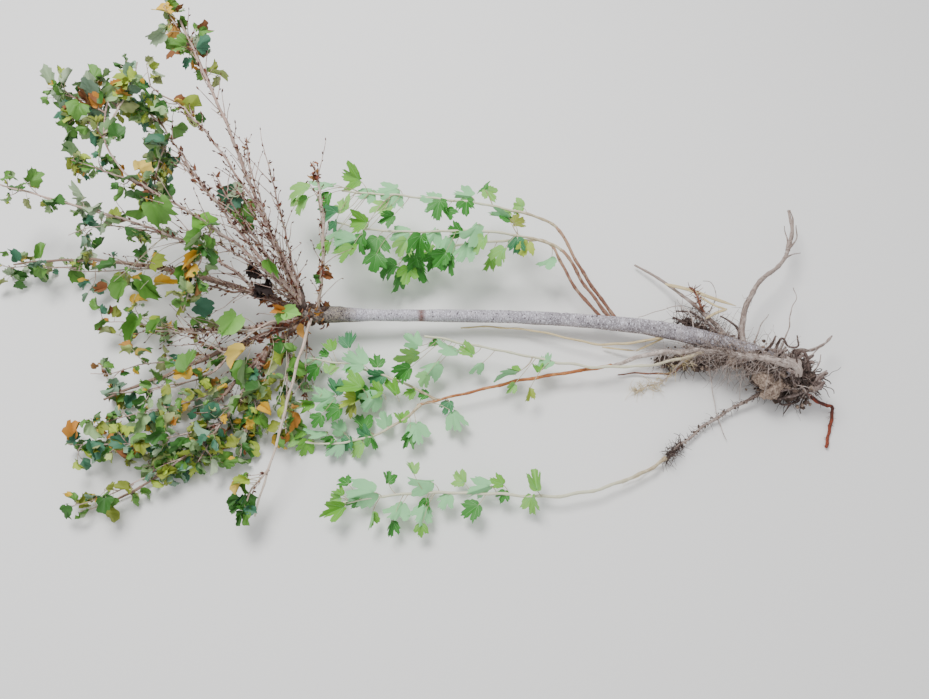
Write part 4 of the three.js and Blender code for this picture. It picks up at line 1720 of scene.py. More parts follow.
@dataclass
class SeenFoliage:
    """Leaves that stand where the photo shows them."""

    plan: Plan
    rng: np.random.Generator
    stalks: Twigs
    shape: LeafShape
    slot: str
    ruffle: float = 0.05
    crumple: float = 0.02
    fold: Pair = (0.15, 0.95)
    stalk_lean: float = 0.45       # how far back towards its foot a leaf's stalk leaves the stem
    stalk_gap: float = 0.004       # and how much further at least
    stalk_arch: float = 0.3        # how far its middle bows, in its own lengths
    stalk_rise: float = 0.4        # how much of that is upwards
    stalk_taper: Pair = (0.0008, 0.0006)
    shut_fold: float = 1.18
    middle: float = 0.42           # where the middle of a blade is, as a share of its length
    lowest: float = 0.012          # height of a leaf's middle above the ground
    tilt: float = 0.45
    nod: Pair = (-0.3, 0.15)       # how far down and up a leaf points
    curl: Pair = (0.5, 0.4)        # mean and spread, in radians
    stalk_rings: int = 9

    def build(self, name: str, stem: str, seen: tuple[SeenLeaf, ...],
              stands_for: tuple[str, ...] = ()) -> bpy.types.Object:
        """Makes the leaves of one limb.

        Args:
            name: the piece's name.
            stem: the path that they grow on.
            seen: the leaves.
            stands_for: the CAD nodes that they replace.

        Returns:
            The piece.
        """
        path = self.plan.paths[stem]
        rows = [self._placed(path, leaf) for leaf in seen]
        base, forward, up, foot = (np.array([row[i] for row in rows]) for i in range(4))
        arch = self.stalk_arch * np.linalg.norm(base - foot, axis=1)[:, None]
        middle = 0.5 * (foot + base) - arch * (forward - self.stalk_rise * UP)
        self.stalks.add(bowed(foot, middle, base, self.stalk_rings), *self.stalk_taper)
        count = len(seen)
        tint = np.array([TINTS.index(leaf.tint) for leaf in seen])
        fold = np.where([leaf.shut for leaf in seen], self.shut_fold, self.rng.uniform(*self.fold, count))
        leaves = Leaves(base, forward, up, np.array([leaf.length for leaf in seen]), fold,
                        self.rng.normal(*self.curl, count), tint, tint)
        maker = LeafMaker(self.shape, self.rng, self.ruffle, self.crumple)
        return maker.build(leaves, name, self.slot, stands_for)

    def _placed(self, path: Path, leaf: SeenLeaf) -> tuple[Array, Array, Array, Array]:
        """The base, direction, upper side and stalk's foot of a leaf.

        Args:
            path: what it grows on.
            leaf: the leaf.

        Returns:
            The four, in that order.
        """
        level = math.radians(leaf.turn)
        ahead = np.array([math.cos(level), math.sin(level), 0.0])
        height = path.points[seen_at(path, leaf.u, leaf.v), 2] + leaf.rise
        centre = PHOTO.point(leaf.u, leaf.v, max(height, self.lowest))
        base = centre - self.middle * leaf.length * ahead
        mark = path.nearest(base)
        away = float(np.linalg.norm(path.at(mark) - base))
        foot = path.at(max(mark - self.stalk_lean * away - self.stalk_gap, 0))
        tilt = self.rng.normal(0, self.tilt, 3) + (-UP if leaf.under else UP)
        forward = unit(ahead + self.rng.uniform(*self.nod) * UP)
        return base, forward, tilt, foot


def wandering(rng: np.random.Generator, start: Array, way: Array, length: Array, points: int,
              bend: float, sag: float = 0.0) -> Array:
    """Lines that set off each in its own way and turn at random as they go.

    Each step points along the way plus bend times a random walk, less sag times the share of the way.

    Args:
        rng: deals the random walks.
        start: first point of each line.
        way: the way that each sets off.
        length: length of each.
        points: how many points a line has.
        bend: how strongly the lines wander.
        sag: how strongly they turn down towards their ends.

    Returns:
        (lines, points, 3) places.
    """
    count = len(start)
    drift = np.cumsum(rng.standard_normal((count, points - 1, 3)), axis=1) * bend / math.sqrt(points)
    share = np.linspace(0, 1, points - 1)[None, :, None]
    steps = unit(way[:, None] + drift - sag * share * UP) * (length[:, None, None] / (points - 1))
    return start[:, None] + np.concatenate([np.zeros((count, 1, 3)), np.cumsum(steps, axis=1)], axis=1)


@dataclass
class CaneDetail:
    """What the bare lengths of the canes bear: side twigs, buds, thorns and dry scales."""

    plan: Plan
    rng: np.random.Generator
    twigs: Twigs
    step: float = 0.0085
    roll: float = 0.3                          # radians that the nodes stray from the golden angle
    node_out: float = 0.0018
    spur: Triple = (0.005, 0.065, 2.6)         # least length, what is added, and its power
    spur_lean: Pair = (0.35, 0.5)              # how far out a spur leans at least, and what is added
    spur_points: int = 6
    spur_bend: float = 0.25
    spur_taper: Pair = (0.0010, 0.0005)
    budded: Pair = (0.95, 0.35)                # share of the spurs with a bud at the tip, and below it
    bud: Pair = (0.004, 0.0075)
    bud_lean: float = 0.9
    bud_stray: float = 0.45
    bud_plump: float = 0.21                    # greatest radius as a share of the length
    bud_ends: Pair = (0.06, 0.97)              # from a blunt foot to a pointed tip
    bud_low: float = 0.8                       # under 1 puts the thickest place nearer to the foot
    bud_rings: int = 6
    bud_sides: int = 5
    thorn: Pair = (0.005, 0.009)
    thorn_taper: Triple = (0.0009, 0.0005, 0.00015)
    thorn_back: float = 0.15                   # how far it leans back towards the cane's foot
    thorn_stray: float = 0.2
    thorn_sides: int = 4
    scaly: float = 0.36                        # share of the nodes with a pair of dry scales
    scale: Pair = (0.006, 0.013)
    scale_lean: float = 0.8                    # how far out it points
    scale_stray: float = 0.6
    scale_curl: float = 0.8
    flake_curl: float = 0.9
    curl: float = 0.3                          # the mean of both
    crinkle: float = 0.1
    flake_size: Pair = (0.006, 0.018)
    scale_fold: Pair = (-0.2, 0.9)
    scale_tints: Pair = (0.8, 0.2)             # brown, rusty
    flake_tints: Triple = (0.7, 0.22, 0.08)    # brown, rusty, orange
    made: dict[str, list[Any]] = field(default_factory=lambda: {"buds": [], "scales": [], "thorns": []})

    def dress(self, name: str, start: float, end: float) -> None:
        """Adds what grows between two shares of a cane's length.

        Nodes stand evenly along it at golden angles. Each has a wandering spur with buds at its last
        places, a bud, a thorn, and sometimes a pair of dry scales.

        Args:
            name: the cane.
            start: the share of its length where they begin.
            end: and where they end.
        """
        path = self.plan.paths[name]
        count = max(2, int(path.length * (end - start) / self.step))
        step = (np.arange(count) + self.rng.uniform(0, 1, count)) / count
        mark = (start + (end - start) * step) * path.length
        roll = np.arange(count) * GOLDEN_ANGLE + self.rng.normal(0, self.roll, count)
        out = path.out(mark, roll)
        way = path.way(mark)
        node = path.at(mark) + self.node_out * out
        least, added, power = self.spur
        length = least + added * self.rng.random(count) ** power
        lean = self.spur_lean[0] + self.spur_lean[1] * self.rng.random(count)
        heading = unit(way + lean[:, None] * out)
        spurs = wandering(self.rng, node, heading, length, self.spur_points, self.spur_bend)
        self.twigs.add(spurs, *self.spur_taper)
        for place in range(2, self.spur_points):
            keep = self.rng.random(count) < self.budded[place < self.spur_points - 1]
            self._bud(spurs[keep, place], unit(spurs[keep, place] - spurs[keep, place - 1]))
        self._bud(node, unit(way + self.bud_lean * out))
        self._scales(node, way, out)
        stray = self.thorn_stray * self.rng.standard_normal((count, 3))
        thorn = unit(out - self.thorn_back * way + stray)
        reach = self.rng.uniform(*self.thorn, count)[:, None]
        self.made["thorns"].append(straight(node, reach * thorn, len(self.thorn_taper)))

    def _bud(self, place: Array, way: Array) -> None:
        """Adds pointed buds.

        Args:
            place: the foot of each.
            way: the way that each points, but for its stray.
        """
        way = unit(way + self.bud_stray * self.rng.standard_normal(way.shape))
        size = self.rng.uniform(*self.bud, len(place))[:, None]
        self.made["buds"].append(straight(place, size * way, self.bud_rings))

    def _scales(self, place: Array, way: Array, out: Array) -> None:
        """Adds pairs of dry scales.

        Args:
            place: the nodes.
            way: the cane's way there.
            out: the way out from it.
        """
        keep = np.repeat(np.nonzero(self.rng.random(len(place)) < self.scaly)[0], 2)
        stray = self.scale_stray * self.rng.standard_normal((len(keep), 3))
        forward = way[keep] + self.scale_lean * out[keep] + stray
        tint = self.rng.choice(DRY_TINTS[:2], len(keep), p=self.scale_tints)
        self._dry(place[keep], unit(forward), self.scale, self.scale_curl, tint)

    def _dry(self, base: Array, forward: Array, size: Pair, curl: float, tint: Array) -> None:
        """Adds dry scales or flakes, each with its own upper side, size, fold and curl.

        Args:
            base: where each starts.
            forward: the way that it points.
            size: least and greatest length.
            curl: how much their droop varies.
            tint: the number of each one's tint.
        """
        count = len(base)
        self.made["scales"].append(Leaves(
            base, forward, self.rng.standard_normal((count, 3)), self.rng.uniform(*size, count),
            self.rng.uniform(*self.scale_fold, count), self.rng.normal(self.curl, curl, count), tint, tint))

    def flake(self, name: str, start: float, end: float, count: int, room: float) -> None:
        """Adds loose dry flakes round part of a limb.

        Args:
            name: the limb.
            start: the share of its length where they begin.
            end: and where they end.
            count: how many they are.
            room: how far they stray from its middle.
        """
        path = self.plan.paths[name]
        mark = self.rng.uniform(start, end, count) * path.length
        off = self.rng.standard_normal((count, 3)) * room
        tint = self.rng.choice(DRY_TINTS, count, p=self.flake_tints)
        way = unit(self.rng.standard_normal((count, 3)))
        self._dry(path.at(mark) + off, way, self.flake_size, self.flake_curl, tint)

    def build(self) -> None:
        """Makes the buds, the thorns and the scales, each kind one piece.

        A bud's radius is its length times bud_plump times the sine of half a turn times its share of
        the way to the power bud_low, which makes it plump near its foot and pointed at its tip.
        """
        lines = np.concatenate(self.made["buds"])
        share = np.linspace(0, 1, lines.shape[1])
        size = np.linalg.norm(lines[:, -1] - lines[:, 0], axis=1)
        plump = self.bud_plump * np.sin(np.pi * np.clip(share, *self.bud_ends) ** self.bud_low)
        surface = skin_over(lines, size[:, None, None] * plump[None, :, None], self.bud_sides, seed=21)
        surface.clad("crown_buds", Skin.BUD)
        thorns = np.concatenate(self.made["thorns"])
        surface = skin_over(thorns, np.array(self.thorn_taper)[None, :, None], self.thorn_sides, seed=22)
        surface.clad("crown_thorns", Skin.STRAW)
        maker = LeafMaker(SCALE_LEAF, self.rng, self.crinkle, self.crinkle)
        maker.build(Leaves.join(self.made["scales"]), "crown_scales", "crown_leaves", ())


@dataclass(frozen=True, kw_only=True)
class Tuft:
    """A group of rootlets: where they spring from, which way they run and how they look."""

    on: str
    share: Pair             # of the carrier's length, from and to
    count: int
    way: Triple             # the way that they share
    spread: float           # how much of its own way out each one adds
    length: Pair
    thick: Pair             # radius at the foot
    bend: float
    skin: Skin
    room: float = 0.002     # how far from the carrier's middle they start


@dataclass(frozen=True, kw_only=True)
class EarthGroup:
    """Lumps or crumbs of earth that cling along a root."""

    on: str
    share: Pair             # of the root's length, from and to
    count: int
    size: Pair
    room: float             # spread about the root's middle
    clay: float             # share of pale clay
    drop: float = 0.0       # how far below the root
    crumbs: bool = False


@dataclass
class RootKnot:
    """The knotted foot of the plant, with the earth and the rootlets that it holds."""

    plan: Plan
    rng: np.random.Generator
    knot_end: float = 0.97             # share of the root crown's line that the lumpy end follows
    knot_rings: int = 90
    knot_sides: int = 40
    knot_marks: tuple[float, ...] = (0, 0.25, 0.55, 0.8, 1)                 # shares of the line
    knot_radii: tuple[float, ...] = (0.017, 0.022, 0.020, 0.015, 0.008)
    knot_lumps: Layers = ((31, 0.34, 0.022), (32, 0.14, 0.006))
    stubs: int = 38                    # short thick roots
    stub_rings: int = 26
    stub_sides: int = 12
    stub_from: float = 0.012           # how far from the middle they start
    stub_length: Pair = (0.024, 0.052)
    stub_radius: Pair = (0.0025, 0.0065)
    stub_tip: float = 0.35             # thickness of the tip as a share of the foot's
    stub_lean: float = 0.55            # how far they point along the line
    stub_bend: float = 1.4
    stub_lumps: Layers = ((33, 0.3, 0.007),)
    stub_shift: float = 0.01           # how far apart in the noise a short root's sides are
    stub_marks: Pair = (0.15, 1.0)     # where they stand, as shares of the line
    hair_rings: int = 14
    hair_sides: int = 4
    hair_seed: int = 40
    hair_sag: float = 0.25
    hair_stray: float = 0.25
    hair_tip: float = 0.4
    furthest: float = 1.5              # how far a lump of earth strays, as a multiple of its room
    lump_flat: Scale = (1.0, 1.0, 0.6)      # the earth spreads less in height
    lump_rings: tuple[int, int] = (14, 5)   # of a lump and of a crumb
    lump_sides: float = 1.3            # as a multiple of its rings
    clay_rings: int = 32               # of the lumps of clay that the photo shows
    clay_sides: int = 40
    hairs: dict[Skin, list[Surface]] = field(default_factory=dict)

    def build(self) -> None:
        """Makes the knot, the earth and the rootlets."""
        self._knot()
        self._earth()
        for tuft in TUFTS:
            self._grow(tuft)
        for skin, parts in self.hairs.items():
            name = skin.value.name.replace("root_bark", "rootlets").replace("_bark", "_rootlets")
            Surface.join(parts).clad(name, skin)

    def _knot(self) -> None:
        """The stem's lumpy end with its short thick roots.

        The end's radius swells and shrinks again along it, times one plus coarse and fine noise. The
        short roots wander off it at golden angles and taper, with noise of their own.
        """
        path = self.plan.paths["root_crown"]
        distance = np.linspace(0, path.length * self.knot_end, self.knot_rings)
        base = np.interp(distance / path.length, self.knot_marks, self.knot_radii)
        place = straightened(base, round_turn(self.knot_sides), distance)
        radii = base[:, None] * (1 + uneven(place, self.knot_lumps))
        parts = [skin_over(path.at(distance)[None], radii[None], self.knot_sides, seed=31)]
        count, rings, sides = self.stubs, self.stub_rings, self.stub_sides
        mark = self.rng.uniform(*self.stub_marks, count) * path.length
        out = path.out(mark, np.arange(count) * GOLDEN_ANGLE)
        way = unit(out + self.stub_lean * path.way(mark))
        lines = wandering(self.rng, path.at(mark) + self.stub_from * out, way,
                          self.rng.uniform(*self.stub_length, count), rings, self.stub_bend)
        foot = self.rng.uniform(*self.stub_radius, count)[:, None, None]
        taper = foot * np.linspace(1, self.stub_tip, rings)[None, :, None]
        shift = self.stub_shift * np.arange(sides)[:, None]
        rough = 1 + uneven(lines[:, :, None] + shift, self.stub_lumps)
        parts.append(skin_over(lines, taper * rough, sides, seed=32))
        Surface.join(parts).clad("root_knot", Skin.KNOT, ("root_crown",))

    def _earth(self) -> None:
        """The lumps of clay and soil between the roots, and crumbs."""
        made: dict[bool, list[Surface]] = {False: [], True: []}
        for group in EARTH:
            path = self.plan.paths[group.on]
            mark = self.rng.uniform(*group.share, group.count) * path.length
            place = path.at(mark) - group.drop * UP
            off = np.clip(self.rng.standard_normal((group.count, 3)), -self.furthest, self.furthest)
            place += group.room * off * self.lump_flat
            size = self.rng.uniform(*group.size, group.count)
            tone = (self.rng.random(group.count) < group.clay).astype(int)
            rings = self.lump_rings[group.crumbs]
            made[group.crumbs].append(lumps_at(place, size, tone, rings, int(rings * self.lump_sides)))
        u, v, z, size = np.array(CLAY_LUMPS).T
        place = PHOTO.point(u, v, z)
        made[False].append(lumps_at(place, size, np.ones(len(u), int), self.clay_rings, self.clay_sides))
        materials = [FINISHES.skin(Earth.SOIL), FINISHES.skin(Earth.CLAY)]
        Surface.join(made[False]).piece("soil_lumps", materials, Earth.SOIL.value.slot, ("soil_clod",))
        Surface.join(made[True]).piece("soil_crumbs", materials, Earth.SOIL.value.slot)

    def _grow(self, tuft: Tuft) -> None:
        """Adds the rootlets of one tuft.

        Args:
            tuft: where they spring from and how they look.
        """
        path = self.plan.paths[tuft.on]
        count = tuft.count
        mark = self.rng.uniform(*tuft.share, count) * path.length
        out = path.out(mark, self.rng.uniform(0, 2 * np.pi, count))
        stray = self.hair_stray * self.rng.standard_normal((count, 3))
        way = unit(np.array(tuft.way) + tuft.spread * out + stray)
        lines = wandering(self.rng, path.at(mark) + tuft.room * out, way,
                          self.rng.uniform(*tuft.length, count), self.hair_rings, tuft.bend, self.hair_sag)
        foot = self.rng.uniform(*tuft.thick, count)[:, None, None]
        radius = foot * np.linspace(1, self.hair_tip, self.hair_rings)[None, :, None]
        seed = self.hair_seed + len(self.hairs.setdefault(tuft.skin, []))
        self.hairs[tuft.skin].append(skin_over(lines, radius, self.hair_sides, seed=seed))


@dataclass(frozen=True)
class StrawBlades:
    """Flat dry blades that are caught in the roots."""

    thin: float = 0.15            # thickness as a share of the width
    sides: int = 8
    marks: tuple[float, ...] = (0, 0.1, 0.8, 1)         # shares of a blade's length
    widths: tuple[float, ...] = (0.5, 1, 0.9, 0.2)      # shares of its width there

    def build(self) -> bpy.types.Object:
        """Makes the blades.

        A blade's radius round its line is its half width times thin + (1 - thin) * |cos a|.

        Returns:
            The piece.
        """
        flat = self.thin + (1 - self.thin) * np.abs(np.cos(round_turn(self.sides)))
        parts = []
        for seen, width in STRAWS:
            line = smoothed(PHOTO.point(*np.array(seen).T))
            taper = np.interp(np.linspace(0, 1, len(line)), self.marks, self.widths) * width / 2
            parts.append(skin_over(line[None], (taper[:, None] * flat)[None], self.sides, seed=60))
        return Surface.join(parts).clad("straw_blades", Skin.STRAW)


@dataclass
class GraftUnion:
    """The dark knobbly bark where the crown forks from the stem."""

    stem: Path
    rng: np.random.Generator
    count: int = 64
    between: Pair = (0.866, 0.902)       # metres along the stem
    room: float = 0.0085
    furthest: float = 1.4                # times the room
    size: Pair = (0.0035, 0.0075)
    rings: int = 12
    sides: int = 16

    def build(self) -> bpy.types.Object:
        """Makes the lumps of bark.

        Returns:
            The piece.
        """
        mark = self.rng.uniform(*self.between, self.count)
        off = np.clip(self.rng.standard_normal((self.count, 3)), -self.furthest, self.furthest)
        size = self.rng.uniform(*self.size, self.count)
        place = self.stem.at(mark) + self.room * off
        lumps = lumps_at(place, size, np.zeros(self.count, int), self.rings, self.sides)
        return lumps.clad("graft_union", Skin.UNION)


LUMP_LAYERS = ((51, 0.45, 0.7), (52, 0.26, 0.26), (53, 0.14, 0.11))
LUMP_SPREAD = 40         # how far apart in the noise lumps a metre apart are


def lumps_at(places: Array, sizes: Array, tones: Array, rings: int, sides: int) -> Surface:
    """Closed uneven lumps.

    A lump is a ball about its place, whose radius is its size times one plus coarse, middling and
    fine noise.

    Args:
        places: the middle of each.
        sizes: the radius of each.
        tones: the material number of each.
        rings: rings between its poles.
        sides: points to a ring.

    Returns:
        The surface.
    """
    share = np.linspace(0, np.pi, rings + 2)[1:-1]
    turn = round_turn(sides)
    flat, high = np.sin(share)[:, None], -np.cos(share)[:, None]
    ball = np.stack(np.broadcast_arrays(flat * np.cos(turn), flat * np.sin(turn), high), -1)
    relief = uneven(ball + LUMP_SPREAD * places[:, None, None], LUMP_LAYERS)
    lines = places[:, None] + high[None] * sizes[:, None, None] * UP
    radii = sizes[:, None, None] * flat[None] * (1 + relief)
    return skin_over(lines, radii, sides, tone=tones, seed=50)


@dataclass
class Studio:
    """The plain pale floor and the soft light."""

    floor_size: float = 6.0
    floor_colour: str = "f1f0ee"
    floor_rough: float = 0.9
    sky_colour: str = "fbfcff"
    sky_strength: float = 0.82
    lamp_power: float = 86.0
    lamp_size: float = 1.3
    lamp_place: Triple = (-0.7, 0.9, 2.6)

    def build(self) -> None:
        """Makes the floor, the lamp and the sky."""
        half = self.floor_size / 2
        mesh = bpy.data.meshes.new("floor")
        corners = [(-half, -half, 0), (half, -half, 0), (half, half, 0), (-half, half, 0)]
        mesh.from_pydata(corners, [], [(0, 1, 2, 3)])
        shader = Shader("floor")
        mesh.materials.append(shader.finish(tint_of(self.floor_colour), self.floor_rough))
        floor = bpy.data.objects.new("floor", mesh)
        bpy.context.scene.collection.objects.link(floor)
        floor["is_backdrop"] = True
        data = bpy.data.lights.new("lamp", "AREA")
        data.energy = self.lamp_power
        data.shape = "DISK"
        data.size = self.lamp_size
        lamp = bpy.data.objects.new("lamp", data)
        lamp.location = self.lamp_place
        lamp.rotation_euler = (-Vector(self.lamp_place)).to_track_quat("-Z", "Y").to_euler()
        bpy.context.scene.collection.objects.link(lamp)
        world = bpy.data.worlds.new("sky")
        world.use_nodes = True
        sky = world.node_tree.nodes["Background"]
        sky.inputs["Color"].default_value = tint_of(self.sky_colour)
        sky.inputs["Strength"].default_value = self.sky_strength
        bpy.context.scene.world = world


ROOTS = (
    Limb("root_tall", "trunk", at=0.086, lift=0.002, heading=99, climb=15,
         run=((0.148, -52, -18), (0.035, -7, -6), (0.174, 56, 8)), thick=(0.011, 0.005), skin=Skin.ROOT),
    Limb("root_lateral", "root_crown", at=0.060, lift=0.032, heading=-178, climb=23,
         run=((0.114, -26, -55), (0.232, 54, 41)), thick=(0.0130, 0.0068), skin=Skin.PALE_ROOT),
    Limb("root_orange", "root_crown", at=0.086, lift=-0.022, heading=-59, climb=-13,
         run=((0.077, 66, -7), (0.010, -110, 10), (0.077, -8, 12)), thick=(0.0068, 0.0052),
         skin=Skin.RUSTY_ROOT, knots=0.012),
    Limb("root_low_left", "root_crown", at=0.038, lift=-0.016, heading=-102, climb=-22,
         run=((0.069, -53, 11), (0.208, 21, 18)), thick=(0.0064, 0.0040), skin=Skin.ROOT),
    Limb("root_right", "root_crown", at=0.044, lift=0.020, heading=57, climb=21,
         run=((0.043, -43, -39), (0.088, 35, 2)), thick=(0.007, 0.003), skin=Skin.ROOT),
    Limb("root_upper_left", "trunk", at=0.095, heading=121, climb=-4, run=((0.265, 18, -11),),
         thick=(0.009, 0.004), skin=Skin.ROOT),
)
ROOT_CROWN = Growth("root_crown", "trunk", at=0.058, heading=-24, climb=2, run=((0.106, -12, -6),))
SOIL_CLOD = Growth("soil_clod", "trunk", at=0.046, lift=-0.048, heading=-30, climb=2, run=((0.104, -6, 0),))

SUCKERS = (
    Limb("shoot_upper_a_foot", "trunk", at=0.312, heading=135, climb=18, run=((0.220, -19, 0),),
         thick=(0.007, 0.0055), skin=Skin.SUCKER_FOOT),
    Limb("shoot_upper_a", "shoot_upper_a_foot", at=0.220, heading=159, climb=5,
         run=((0.210, 18, -4), (0.210, -1, -4)), thick=(0.0052, 0.0036), skin=Skin.SUCKER, collar=0.0),
    Limb("shoot_upper_b_foot", "trunk", at=0.324, heading=139, climb=24, run=((0.170, -18, -3),),
         thick=(0.007, 0.0055), skin=Skin.SUCKER_FOOT),
    Limb("shoot_upper_b", "shoot_upper_b_foot", at=0.170, heading=161, climb=6,
         run=((0.225, 25, -8), (0.225, -23, -2)), thick=(0.0052, 0.0036), skin=Skin.SUCKER, collar=0.0),
    Limb("shoot_upper_c_foot", "trunk", at=0.338, heading=143, climb=19, run=((0.195, -36, -14),),
         thick=(0.0065, 0.0055), skin=Skin.SUCKER_FOOT),
    Limb("shoot_upper_c", "shoot_upper_c_foot", at=0.195, heading=179, climb=-3, run=((0.295, 16, -6),),
         thick=(0.0052, 0.0036), skin=Skin.SUCKER, collar=0.0),
    Limb("shoot_straw", "trunk", at=0.212, lift=-0.006, heading=-157, climb=-3,
         run=((0.200, -39, 0), (0.205, 21, 0)), thick=(0.005, 0.003), skin=Skin.STRAW),
    Limb("shoot_mid", "root_lateral", at=0.166, heading=-159, climb=-5,
         run=((0.289, -33, 5), (0.232, 6, 4)), thick=(0.0052, 0.0044), skin=Skin.SUCKER),
    Limb("shoot_low", "root_lateral", at=0.340, heading=-170, climb=1, run=((0.365, 8, -3),),
         thick=(0.0068, 0.0046), skin=Skin.AMBER, collar=0.0),
    Limb("shoot_low_branch_near", "shoot_low", at=0.360, heading=-132, climb=-4, run=((0.225, -57, 0),),
         thick=(0.0048, 0.0034), skin=Skin.SUCKER),
    Limb("shoot_low_branch_far", "shoot_low", at=0.330, heading=152, climb=6, run=((0.250, 22, -10),),
         thick=(0.0048, 0.0034), skin=Skin.SUCKER),
    Limb("shoot_bottom", "root_low_left", at=0.275, heading=-144, climb=6,
         run=((0.285, -39, -5), (0.295, 14, -2)), thick=(0.0060, 0.0044), skin=Skin.SUCKER, collar=0.3),
)

BENDS = (       # each limb, and the one that goes on from its end
    ("shoot_upper_a_foot", "shoot_upper_a"), ("shoot_upper_b_foot", "shoot_upper_b"),
    ("shoot_upper_c_foot", "shoot_upper_c"), ("root_lateral", "shoot_low"), ("root_low_left", "shoot_bottom"),
    ("cane_leafy", "cane_far"))

LOW_MIDDLE = Growth("leaves_low_middle", "shoot_low", at=0.358, heading=174, climb=2, run=((0.206, 4, 0),))

CANES = (
    Limb("cane_dry_down", "trunk", at=0.886, lift=0.004, heading=-93, climb=22,
         run=((0.200, -6, -30), (0.185, -8, -16)), thick=(0.0060, 0.0034), skin=Skin.PALE_CANE),
    Limb("cane_dry_right", "trunk", at=0.880, lift=0.002, heading=65, climb=59, run=((0.280, 44, -32),),
         thick=(0.007, 0.0035), skin=Skin.PALE_CANE),
    Limb("cane_top", "trunk", at=0.892, heading=125, climb=44, run=((0.265, -11, 4), (0.260, 7, -12)),
         thick=(0.0084, 0.0034), skin=Skin.CANE),
    Limb("cane_top_inner", "trunk", at=0.897, lift=0.004, heading=113, climb=55, run=((0.405, 28, -22),),
         thick=(0.0068, 0.0028), skin=Skin.CANE),
    Limb("cane_upper", "trunk", at=0.890, lift=0.002, heading=146, climb=51, run=((0.425, -21, -40),),
         thick=(0.0072, 0.0028), skin=Skin.CANE),
    Limb("cane_leafy", "trunk", at=0.897, heading=137, climb=41, run=((0.365, 44, 8),),
         thick=(0.0068, 0.0036), skin=Skin.CANE),
    Limb("cane_far", "cane_leafy", at=0.362, heading=150, climb=14, run=((0.165, -68, -6),),
         thick=(0.0034, 0.0026), skin=Skin.CANE, collar=0.0),
    Limb("bough_left", "trunk", at=0.899, heading=164, climb=21, run=((0.290, 4, -27), (0.295, 16, -5)),
         thick=(0.013, 0.0032), skin=Skin.BOUGH),
    Limb("cane_left_high", "bough_left", at=0.084, heading=139, climb=11,
         run=((0.270, 28, -4), (0.270, -1, -5)), thick=(0.0066, 0.0028), skin=Skin.CANE),
    Limb("cane_left_low", "trunk", at=0.896, lift=-0.002, heading=-158, climb=2, run=((0.285, -29, -2),),
         thick=(0.0074, 0.0030), skin=Skin.CANE),
    Limb("bough_low", "trunk", at=0.892, lift=-0.004, heading=-154, climb=-4, run=((0.390, 0, 3),),
         thick=(0.012, 0.0036), skin=Skin.BOUGH),
    Limb("bough_low_dark", "trunk", at=0.884, lift=-0.004, heading=-146, climb=-9, run=((0.270, 32, 14),),
         thick=(0.011, 0.0036), skin=Skin.BOUGH),
    Limb("cane_bottom", "bough_low_dark", at=0.106, heading=-103, climb=2, run=((0.400, -57, -13),),
         thick=(0.0076, 0.0030), skin=Skin.BOUGH),
)

SPRAYS = (
    Spray("leaves_tip", "cane_top", at=0.425, heading=110, climb=20, run=((0.150, 34, 6),), wide=0.036,
          high=0.038, autumn=0.3, density=0.35),
    Spray("leaves_high", "cane_top_inner", at=0.388, heading=143, climb=10, run=((0.160, 10, -4),),
          wide=0.044, high=0.044, density=0.34),
    Spray("leaves_high_left", "cane_far", at=0.142, heading=150, climb=6, run=((0.118, 14, -8),),
          wide=0.044, high=0.044, density=0.4),
    Spray("leaves_hanging", "cane_upper", at=0.395, heading=-108, climb=-14, run=((0.138, 16, -14),),
          wide=0.025, high=0.028, autumn=0.03, density=0.8),
    Spray("leaves_raised", "cane_leafy", at=0.348, heading=164, climb=24, run=((0.130, 10, -10),),
          wide=0.042, high=0.045, density=0.42),
    Spray("leaves_left_inner", "cane_left_high", at=0.196, heading=161, climb=2, run=((0.215, 34, -10),),
          wide=0.041, high=0.052, autumn=0.0, density=0.16),
    Spray("leaves_left_tip", "cane_left_high", at=0.366, heading=167, climb=0, run=((0.184, -5, 0),),
          wide=0.040, high=0.050, autumn=0.0, density=0.15),
    Spray("leaves_left_low", "bough_left", at=0.262, heading=173, climb=-19, run=((0.228, 4, 12),),
          wide=0.050, high=0.070, autumn=0.14, density=0.18),
    Spray("leaves_left_low_tip", "bough_left", at=0.470, lift=-0.030, heading=178, climb=-4,
          run=((0.156, 0, 4),), wide=0.039, high=0.062, autumn=0.04, density=0.2),
    Spray("leaves_middle", "cane_left_low", at=0.182, heading=170, climb=-2, run=((0.212, 12, -3),),
          wide=0.049, high=0.068, autumn=0.12, density=0.16),
    Spray("leaves_chain", "cane_leafy", at=0.228, heading=-114, climb=-24, run=((0.155, 6, -6),),
          wide=0.024, high=0.030, autumn=0.1, density=0.5),
    Spray("leaves_near_a", "bough_low", at=0.164, heading=-163, climb=1, run=((0.252, -11, -4),),
          wide=0.048, high=0.060, autumn=0.22, density=0.13),
    Spray("leaves_near_b", "bough_low_dark", at=0.197, heading=-155, climb=1, run=((0.262, -10, -5),),
          wide=0.050, high=0.058, autumn=0.18, density=0.42),
    Spray("leaves_near_c", "cane_bottom", at=0.158, heading=-160, climb=0, run=((0.272, -20, 0),),
          wide=0.042, high=0.050, density=0.45),
    Spray("leaves_near_d", "cane_bottom", at=0.240, heading=-142, climb=0, run=((0.208, -24, 0),),
          wide=0.028, high=0.036, autumn=0.05, density=0.24),
    Spray("leaves_front", "cane_bottom", at=0.052, heading=-122, climb=-2, run=((0.190, 14, 0),),
          wide=0.054, high=0.058, autumn=0.14, density=0.5),
    Spray("leaves_front_right", "bough_low_dark", at=0.058, heading=-84, climb=-6, run=((0.200, -2, 4),),
          wide=0.037, high=0.046, density=0.4),
)


